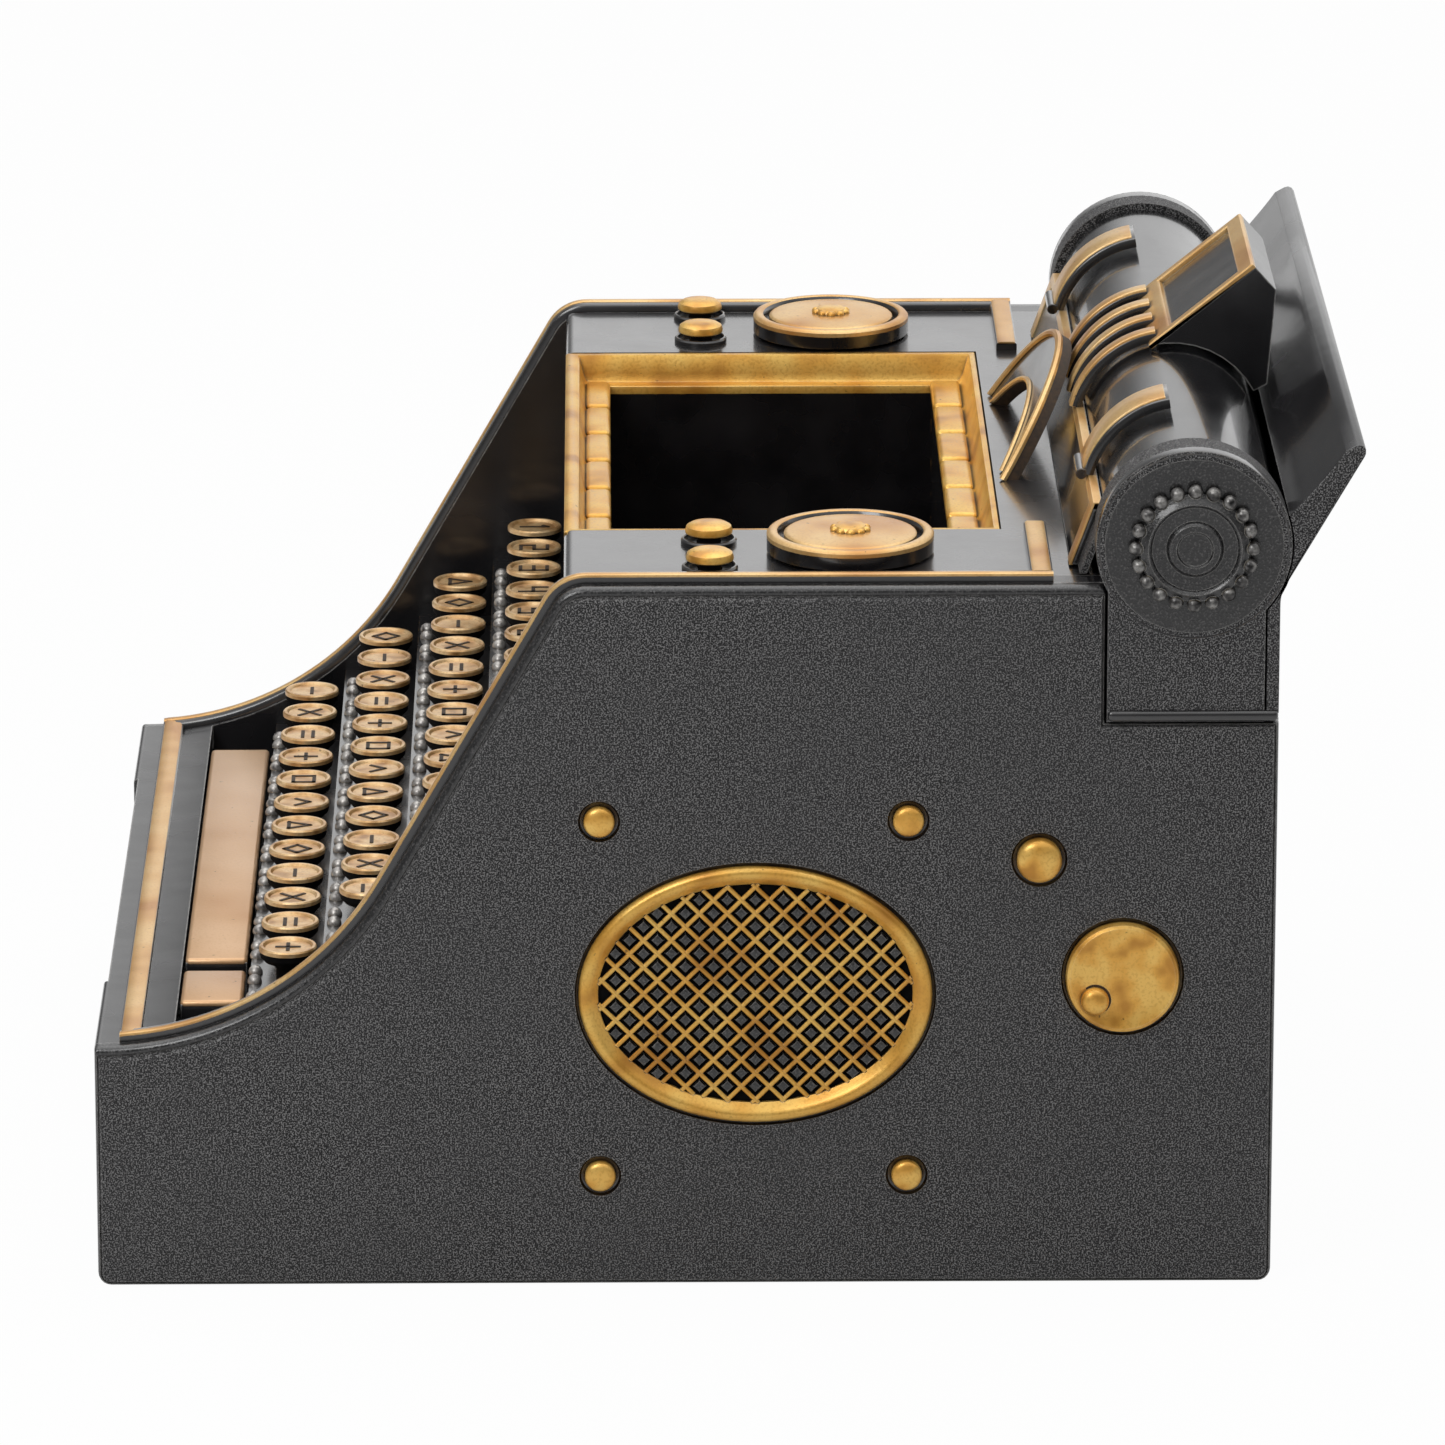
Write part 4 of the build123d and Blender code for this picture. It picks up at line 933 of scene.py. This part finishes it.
def gilt_strip(x_low, x_high, margin, sunk, lead, edge):
    """Dark strip over the platen with a gold face inside its edges."""
    strip = arc_blade(x_low, x_high, WRAP_INNER, WRAP_OUTER - sunk, WRAP_HEAD, edge)
    face = arc_blade(x_low + margin, x_high - margin, WRAP_OUTER - WRAP_FACE, WRAP_OUTER, WRAP_HEAD + lead,
                     edge)
    return [(*strip, ENAMEL), (*face, TRIM)]


HINGE_OUTER, HINGE_INNER, HINGE_EDGE = 1.3, 1.1, 0.2
hinge_y = PLATEN_Y - math.sqrt(WRAP_OUTER ** 2 - (WRAP_FOOT - PLATEN_Z) ** 2)
for side in ("left", "right"):
    name = f"paper_finger_{side}"
    low, high = span(name)
    width = high.x - low.x
    barrel_profile = [(HINGE_INNER, 0), (HINGE_OUTER, HINGE_EDGE), (HINGE_OUTER, width - HINGE_EDGE),
                      (HINGE_INNER, width)]
    barrel = lathe((low.x, hinge_y, WRAP_FOOT), "x", barrel_profile, 24)
    groups = gilt_strip(low.x, high.x, 1.0, 0.5, 2.0, 0.5) + [(*barrel, ENAMEL)]
    piece(f"finger_{side}", name, groups, [name])

# Front plate: dark, with gold at both ends and along its top
PLATE_LEAN = math.radians(20.0)
PLATE_THICKNESS = 2.0 / math.cos(PLATE_LEAN)
PLATE_FOOT = Vector((PLATEN_Y - 27.3, front_low.z))
PLATE_RISE = Vector(((front_high.z - front_low.z) * math.tan(PLATE_LEAN), front_high.z - front_low.z))
PLATE_END = 7.0


def plate_slab(x_low, x_high, start, end, front, back, material):
    """Slab on the front plate, between two heights (shares of its own) and two distances behind its face."""
    corners = [PLATE_FOOT + PLATE_RISE * up + Vector((depth, 0))
               for up, depth in ((start, front), (start, back), (end, back), (end, front))]
    (vertices, ends), (_, sides) = bevelled_prism(corners, x_low, x_high, 0.2)
    return vertices, ends + sides, material


piece("plate", "carriage", [
    plate_slab(front_low.x, front_high.x, 0.01, 0.99, 0.3, PLATE_THICKNESS - 0.05, REST),
    plate_slab(front_low.x, front_high.x, 0.88, 1.0, 0.02, PLATE_THICKNESS - 0.3, TRIM),
    plate_slab(front_low.x, front_low.x + PLATE_END, 0.0, 0.9, 0.02, 0.9, TRIM),
    plate_slab(front_high.x - PLATE_END, front_high.x, 0.0, 0.9, 0.02, 0.9, TRIM),
], ["front_plate"])

# Name hood
hood_low, hood_high = span("name_hood")
HOOD_HALF = (hood_high.x - hood_low.x) / 2
RIB_PITCH = 13.4
RIB_HALF = 2.5
# Widths of the gold border at the sides, the foot and the head
HOOD_BORDERS = (3.2, 6.5, 4.5)
FIELD_DEPTH = 1.2
# (share of the border, height over the face) from the outside to the field
HOOD_RINGS = ((0, -FIELD_DEPTH - 0.1), (0, -0.3), (0.1, 0.02), (0.85, 0.02), (0.95, -0.3),
              (1, -FIELD_DEPTH - 0.1))
FACE_FOOT = Vector((PLATEN_Y - 5.5, PLATEN_Z + 21.2))
FACE_HEAD = Vector((PLATEN_Y + 18.5, PLATEN_Z + 40.6))
BACK_HEAD = Vector((PLATEN_Y + 24.1, PLATEN_Z + 34.3))
BACK_FOOT = Vector((PLATEN_Y + 22.3, PLATEN_Z + 11.7))


def hood():
    """Block with a broad gold border round a sunk bare field, and four gold ribs below it."""
    slope = (FACE_HEAD - FACE_FOOT).normalized()
    normal = Vector((-slope.y, slope.x))
    length = (FACE_HEAD - FACE_FOOT).length
    start, end = (math.atan2(point.y - PLATEN_Z, point.x - PLATEN_Y) for point in (BACK_FOOT, FACE_FOOT))
    outline = [FACE_FOOT - normal * FIELD_DEPTH, FACE_HEAD - normal * FIELD_DEPTH, BACK_HEAD, BACK_FOOT]
    outline += [around_platen(WRAP_INNER, start + (end - start) * step / 8) for step in range(9)]
    groups = [(*skin([[(x, *point) for point in outline] for x in (hood_low.x, hood_high.x)]), REST)]
    rings = []
    for share, up in HOOD_RINGS:
        side_in, foot_in, head_in = (share * border for border in HOOD_BORDERS)
        rings.append([(CARRIAGE_X + x, *(FACE_FOOT + slope * along + normal * up)) for x, along in (
            (side_in - HOOD_HALF, foot_in), (HOOD_HALF - side_in, foot_in),
            (HOOD_HALF - side_in, length - head_in), (side_in - HOOD_HALF, length - head_in))])
    groups.append((*skin(rings, False, False), TRIM))
    for rib in range(4):
        x = CARRIAGE_X + (rib - 1.5) * RIB_PITCH
        groups += gilt_strip(x - RIB_HALF, x + RIB_HALF, 0.2, 0.6, 0.0, 0.4)
    return groups


piece("hood", "carriage", hood(), ["name_hood"])

# Platen and its knobs
ROLLER_HALF = CARRIAGE_HALF - 12.3
SHAFT_HALF = (platen_high.x - platen_low.x) / 2
SHAFT_RADIUS = 4.0
ROLLER_EDGE = 0.8
roller_end = [(PLATEN_RADIUS, ROLLER_HALF - ROLLER_EDGE), (PLATEN_RADIUS - ROLLER_EDGE, ROLLER_HALF),
              (SHAFT_RADIUS, ROLLER_HALF), (SHAFT_RADIUS, SHAFT_HALF)]
roller_profile = [(radius, -along) for radius, along in reversed(roller_end)] + roller_end
roller = lathe((CARRIAGE_X, PLATEN_Y, PLATEN_Z), "x", roller_profile, 96)
piece("roller", "platen", [(*roller, RUBBER)], ["platen"])

KNOB_OUT = span("platen_knobs")[1].x
# (radius, distance inside the knob's face)
KNOB_PROFILE = ((12.4, 3.0), (12.6, 2.0), (12.2, 1.1), (11.4, 0.8), (10.9, 0.2), (10.5, 0.0), (10.1, 0.2),
                (9.6, 1.0), (6.5, 1.1), (6.1, 0.4), (5.6, 0.0), (4.2, 0.0), (3.8, 0.6), (0, 0.6))
BEADS = 20
BEAD_RADIUS = 1.7
BEAD_CIRCLE = 13.1
knob_profile = [(radius, -depth) for radius, depth in KNOB_PROFILE]
knob_groups = [(*lathe((KNOB_OUT, PLATEN_Y, PLATEN_Z), "x", knob_profile, 56), KNOB)]
half_turn = [math.pi * i / 8 for i in range(9)]
bead_profile = [(BEAD_RADIUS * math.sin(turn), -BEAD_RADIUS * math.cos(turn)) for turn in half_turn]
for y, z in circle(BEAD_CIRCLE, BEADS):
    place = (KNOB_OUT - BEAD_RADIUS, PLATEN_Y + y, PLATEN_Z + z)
    knob_groups.append((*lathe(place, "x", bead_profile, 14), BEAD))
piece("knobs", "platen", both_sides(knob_groups, CARRIAGE_X), ["platen_knobs"])

# Rim and face of each end disc and the ledge under each end plate
END_RADIUS = 22.0
# (distance inside the disc's edge, place along the axis)
RIM_PROFILE = ((0.1, -6), (-0.15, -1.2), (0, -0.3), (0.6, 0.0), (1.2, -0.1), (1.6, -0.5))
rim_profile = [(END_RADIUS - inset, along) for inset, along in RIM_PROFILE]
rim = lathe((rest_high.x + 0.05, PLATEN_Y, PLATEN_Z), "x", rim_profile, 80, False, False)
end_face = lathe((rest_high.x, PLATEN_Y, PLATEN_Z), "x",
                 [(END_RADIUS - 1.6, -0.5), (END_RADIUS - 1.9, 0.12), (0, 0.12)], 80, False, True)
end_ledge = block((rest_high.x - 10, NOTCH_FRONT + 0.4, NOTCH_FLOOR + 0.35),
                  (rest_high.x + 0.9, PLATEN_Y + 19.4, NOTCH_FLOOR + 3.0), 1.1, 4)
end_groups = [(*rim, ENAMEL), (*end_ledge, ENAMEL), (*end_face, KNOB)]
piece("end_edges", "carriage", both_sides(end_groups, CARRIAGE_X))

# Section of the paper rest, as (y, z) from the platen's axis
REST_REAR = 19.5
REST_FLARE = -11.2
REST_BROW = 20.7
REST_BROW_Y = REST_REAR + (REST_BROW - REST_FLARE) / math.tan(SLOPE_ANGLE)
REST_CORNERS = ((16.5, rest_low.z - PLATEN_Z, 0.5, 1), (REST_REAR, rest_low.z - PLATEN_Z, 0.8, 2),
                (REST_REAR, REST_FLARE, SHOULDER_RADIUS, 8), (REST_BROW_Y, REST_BROW, 2.5, 3),
                (REST_BROW_Y + 1.2, 25.0, 1.6, 4), (REST_BROW_Y - 4.4, 21.9, 0.9, 3), (22.0, 9.0, 0, 1))
REST_HOLLOW = Vector((PLATEN_Y + 28.2, PLATEN_Z + 15.0))
REST_SEAT_HEAD = Vector((PLATEN_Y + 21.2, PLATEN_Z + 7.0))
REST_SEAT_RADIUS = 22.3


def rest_section():
    """Foot, fillet, flare, brow and lip, then the hollow front and the platen's seat."""
    outline = rounded_loop([(PLATEN_Y + y, PLATEN_Z + z, radius, steps, 1.0)
                            for y, z, radius, steps in REST_CORNERS])[:-2]
    start = Vector(outline[-1])
    control = 2 * REST_HOLLOW - (start + REST_SEAT_HEAD) / 2
    for step in range(1, 9):
        t = step / 8
        outline.append(tuple(start * (1 - t) ** 2 + control * 2 * t * (1 - t) + REST_SEAT_HEAD * t ** 2))
    return outline + [around_platen(REST_SEAT_RADIUS, math.radians(turn)) for turn in range(12, -43, -6)]


rest_ends, rest_sides = bevelled_prism(rest_section(), rest_low.x, rest_high.x, 0.45)
rest_groups = [(*rest_ends, CASTING), (*rest_sides, REST)]
welded(piece("rest", "carriage", rest_groups, ["paper_rest"]))


# ---------- type guide

guide_low, guide_high = span("type_guide")
GUIDE_LEAN = math.radians(31.3)
GUIDE_HALF = guide_high.x
GUIDE_RISE = 28.9
GUIDE_NOTCH_HALF = 31.0
GUIDE_NOTCH_RISE = 14.3
GUIDE_THICK = 3.2


def arc_through(half, rise, count):
    """Points of an arc from (-half, 0) over (0, rise) to (half, 0)."""
    radius = (half * half + rise * rise) / (2 * rise)
    sweep = math.atan2(half, radius - rise)
    turns = [-sweep + 2 * sweep * i / count for i in range(count + 1)]
    return [(radius * math.sin(turn), rise - radius + radius * math.cos(turn)) for turn in turns]


def on_guide(u, v, out):
    """Point on the leaning guide: u across, v up its slope and out in front of its face."""
    return (u, guide_low.y + v * math.sin(GUIDE_LEAN) - out * math.cos(GUIDE_LEAN),
            DECK + v * math.cos(GUIDE_LEAN) + out * math.sin(GUIDE_LEAN))


def crescent(inset, notch_inset, out_low, out_high, count=40):
    """Crescent plate, with its outer edge and its notch moved by their insets."""
    outer = arc_through(GUIDE_HALF - inset - 0.2, GUIDE_RISE - inset, count)
    notch = arc_through(GUIDE_NOTCH_HALF + notch_inset, GUIDE_NOTCH_RISE + notch_inset, count)
    return skin([[on_guide(*top, out_low), on_guide(*top, out_high), on_guide(*foot, out_high),
                  on_guide(*foot, out_low)] for top, foot in zip(outer, notch)])


def guide_rim(half, rise, radius, sides=8, count=48):
    """Round gold bead along an arc of the guide."""
    loops = []
    arc = arc_through(half, rise, count)
    for i, (u, v) in enumerate(arc):
        way = (Vector(arc[min(i + 1, count)]) - Vector(arc[max(i - 1, 0)])).normalized()
        loops.append([on_guide(u - way.y * a, max(v + way.x * a, 0.1), out)
                      for a, out in circle(radius, sides)])
    return skin(loops)


piece("guide", "cabinet", [
    (*crescent(0.4, 0.0, -GUIDE_THICK, -0.5), MARK),
    (*crescent(1.0, 0.4, -0.6, -0.15), RUBBER),
    (*guide_rim(GUIDE_HALF - 1.0, GUIDE_RISE - 0.9, 0.95), TRIM),
    (*guide_rim(GUIDE_NOTCH_HALF + 0.6, GUIDE_NOTCH_RISE + 0.6, 0.7), TRIM),
], ["type_guide"])


# ---------- CAD nodes that stay, with finer looks

def paint(material, *nodes):
    for node in nodes:
        shown = frame["nodes"][node]
        if not shown.material_slots:
            shown.data.materials.append(material)
        for material_slot in shown.material_slots:
            material_slot.material = material


paint(CASTING, "carriage_frame")
paint(REST, "cabinet")
paint(ENAMEL, "top_cover", "key_bed", "well_liner", "spool_cups", "base_pan")
paint(STEEL, "type_segment", "type_bars", "carriage_rails")


# ---------- studio, in metres

FLOOR_REACH = 8.0
FLOOR_GAP = 0.0002
PAPER = 0.86
FLOOR_SEEN = 0.97      # share of plain white that the camera sees in the floor
AMBIENT = 0.35
ROOM = 0.2             # brightness of the darker room in reflections
AIM = Vector((0, 0, 0.1))
CAMERA_PLACE = (2.343, -0.018, 0.788)
CAMERA_LENS = 255.6
SENSOR_WIDTH = 36.0
PITCH = math.radians(16.47)
YAW = math.radians(0.69)


def combined(tree, operation, first, second):
    return shader_node(tree, "Math", {0: first, 1: second}, operation=operation).outputs[0]


def floor():
    """White floor that keeps a faint shadow; reflections see it bright at the left and dim at the right."""
    material, tree = empty_material("studio_floor")
    ray = shader_node(tree, "LightPath").outputs
    place = shader_node(tree, "TexCoord").outputs["Object"]
    across = shader_node(tree, "SeparateXYZ", {0: place}).outputs[0]
    seen = combined(tree, "MULTIPLY", ray["Is Camera Ray"], FLOOR_SEEN)
    reflected = combined(tree, "MULTIPLY", ray["Is Glossy Ray"], ranged(tree, across, -0.2, 0.2, 0.65, 0.1))
    paper = shader_node(tree, "BsdfDiffuse", {"Color": (PAPER, PAPER, PAPER, 1)}).outputs[0]
    glow = shader_node(tree, "Emission").outputs[0]
    blend = shader_node(tree, "MixShader", {0: combined(tree, "MAXIMUM", seen, reflected), 1: paper, 2: glow})
    shader_node(tree, "OutputMaterial", {0: blend.outputs[0]})
    mesh = bpy.data.meshes.new("floor")
    corners = rectangle(-FLOOR_REACH, FLOOR_REACH, -FLOOR_REACH, FLOOR_REACH, -FLOOR_GAP)
    mesh.from_pydata(corners, [], [(0, 1, 2, 3)])
    mesh.materials.append(material)
    linked("floor", mesh)


def world():
    """Even light; the camera sees white, and reflections a white backdrop with a darker room before it."""
    made = bpy.data.worlds.new("studio")
    bpy.context.scene.world = made
    made.use_nodes = True
    tree = made.node_tree
    background = tree.nodes["Background"]
    background.inputs["Color"].default_value = (1.0, 1.0, 1.0, 1.0)
    way = shader_node(tree, "TexCoord").outputs["Generated"]
    across, along, up = shader_node(tree, "SeparateXYZ", {0: way}).outputs
    backdrop = combined(tree, "MINIMUM", ranged(tree, across, -0.3, 0.4, 1.0, ROOM),
                        ranged(tree, along, -0.22, -0.03, ROOM, 1.0))
    reflected = combined(tree, "MAXIMUM", backdrop, ranged(tree, up, 0.4, 0.7, 0.0, 1.0))
    ray = shader_node(tree, "LightPath").outputs
    strength = AMBIENT
    for kind, value in (("Is Glossy Ray", reflected), ("Is Transmission Ray", 1.0), ("Is Camera Ray", 1.0)):
        strength = shader_node(tree, "Mix", {0: ray[kind], 2: strength, 3: value}).outputs[0]
    tree.links.new(strength, background.inputs["Strength"])


def aim(made, place, way):
    made.location = place
    made.rotation_euler = way.to_track_quat("-Z", "Y").to_euler()


def softbox(name, place, side, power):
    """Square light aimed at the machine."""
    light = bpy.data.lights.new(name, "AREA")
    light.size = side
    light.energy = power
    aim(linked(name, light), place, AIM - Vector(place))


floor()
world()
softbox("overhead", (-0.3, 0.1, 1.5), 1.6, 8.5)
softbox("front", (0.66, -0.42, 0.74), 0.4, 2.7)

lens = bpy.data.cameras.new("camera")
lens.lens = CAMERA_LENS
lens.sensor_width = SENSOR_WIDTH
camera = linked("camera", lens)
aim(camera, CAMERA_PLACE, Vector((-math.cos(PITCH) * math.cos(YAW), math.cos(PITCH) * math.sin(YAW),
                                  -math.sin(PITCH))))
bpy.context.scene.camera = camera
bpy.context.scene.view_settings.view_transform = "Standard"
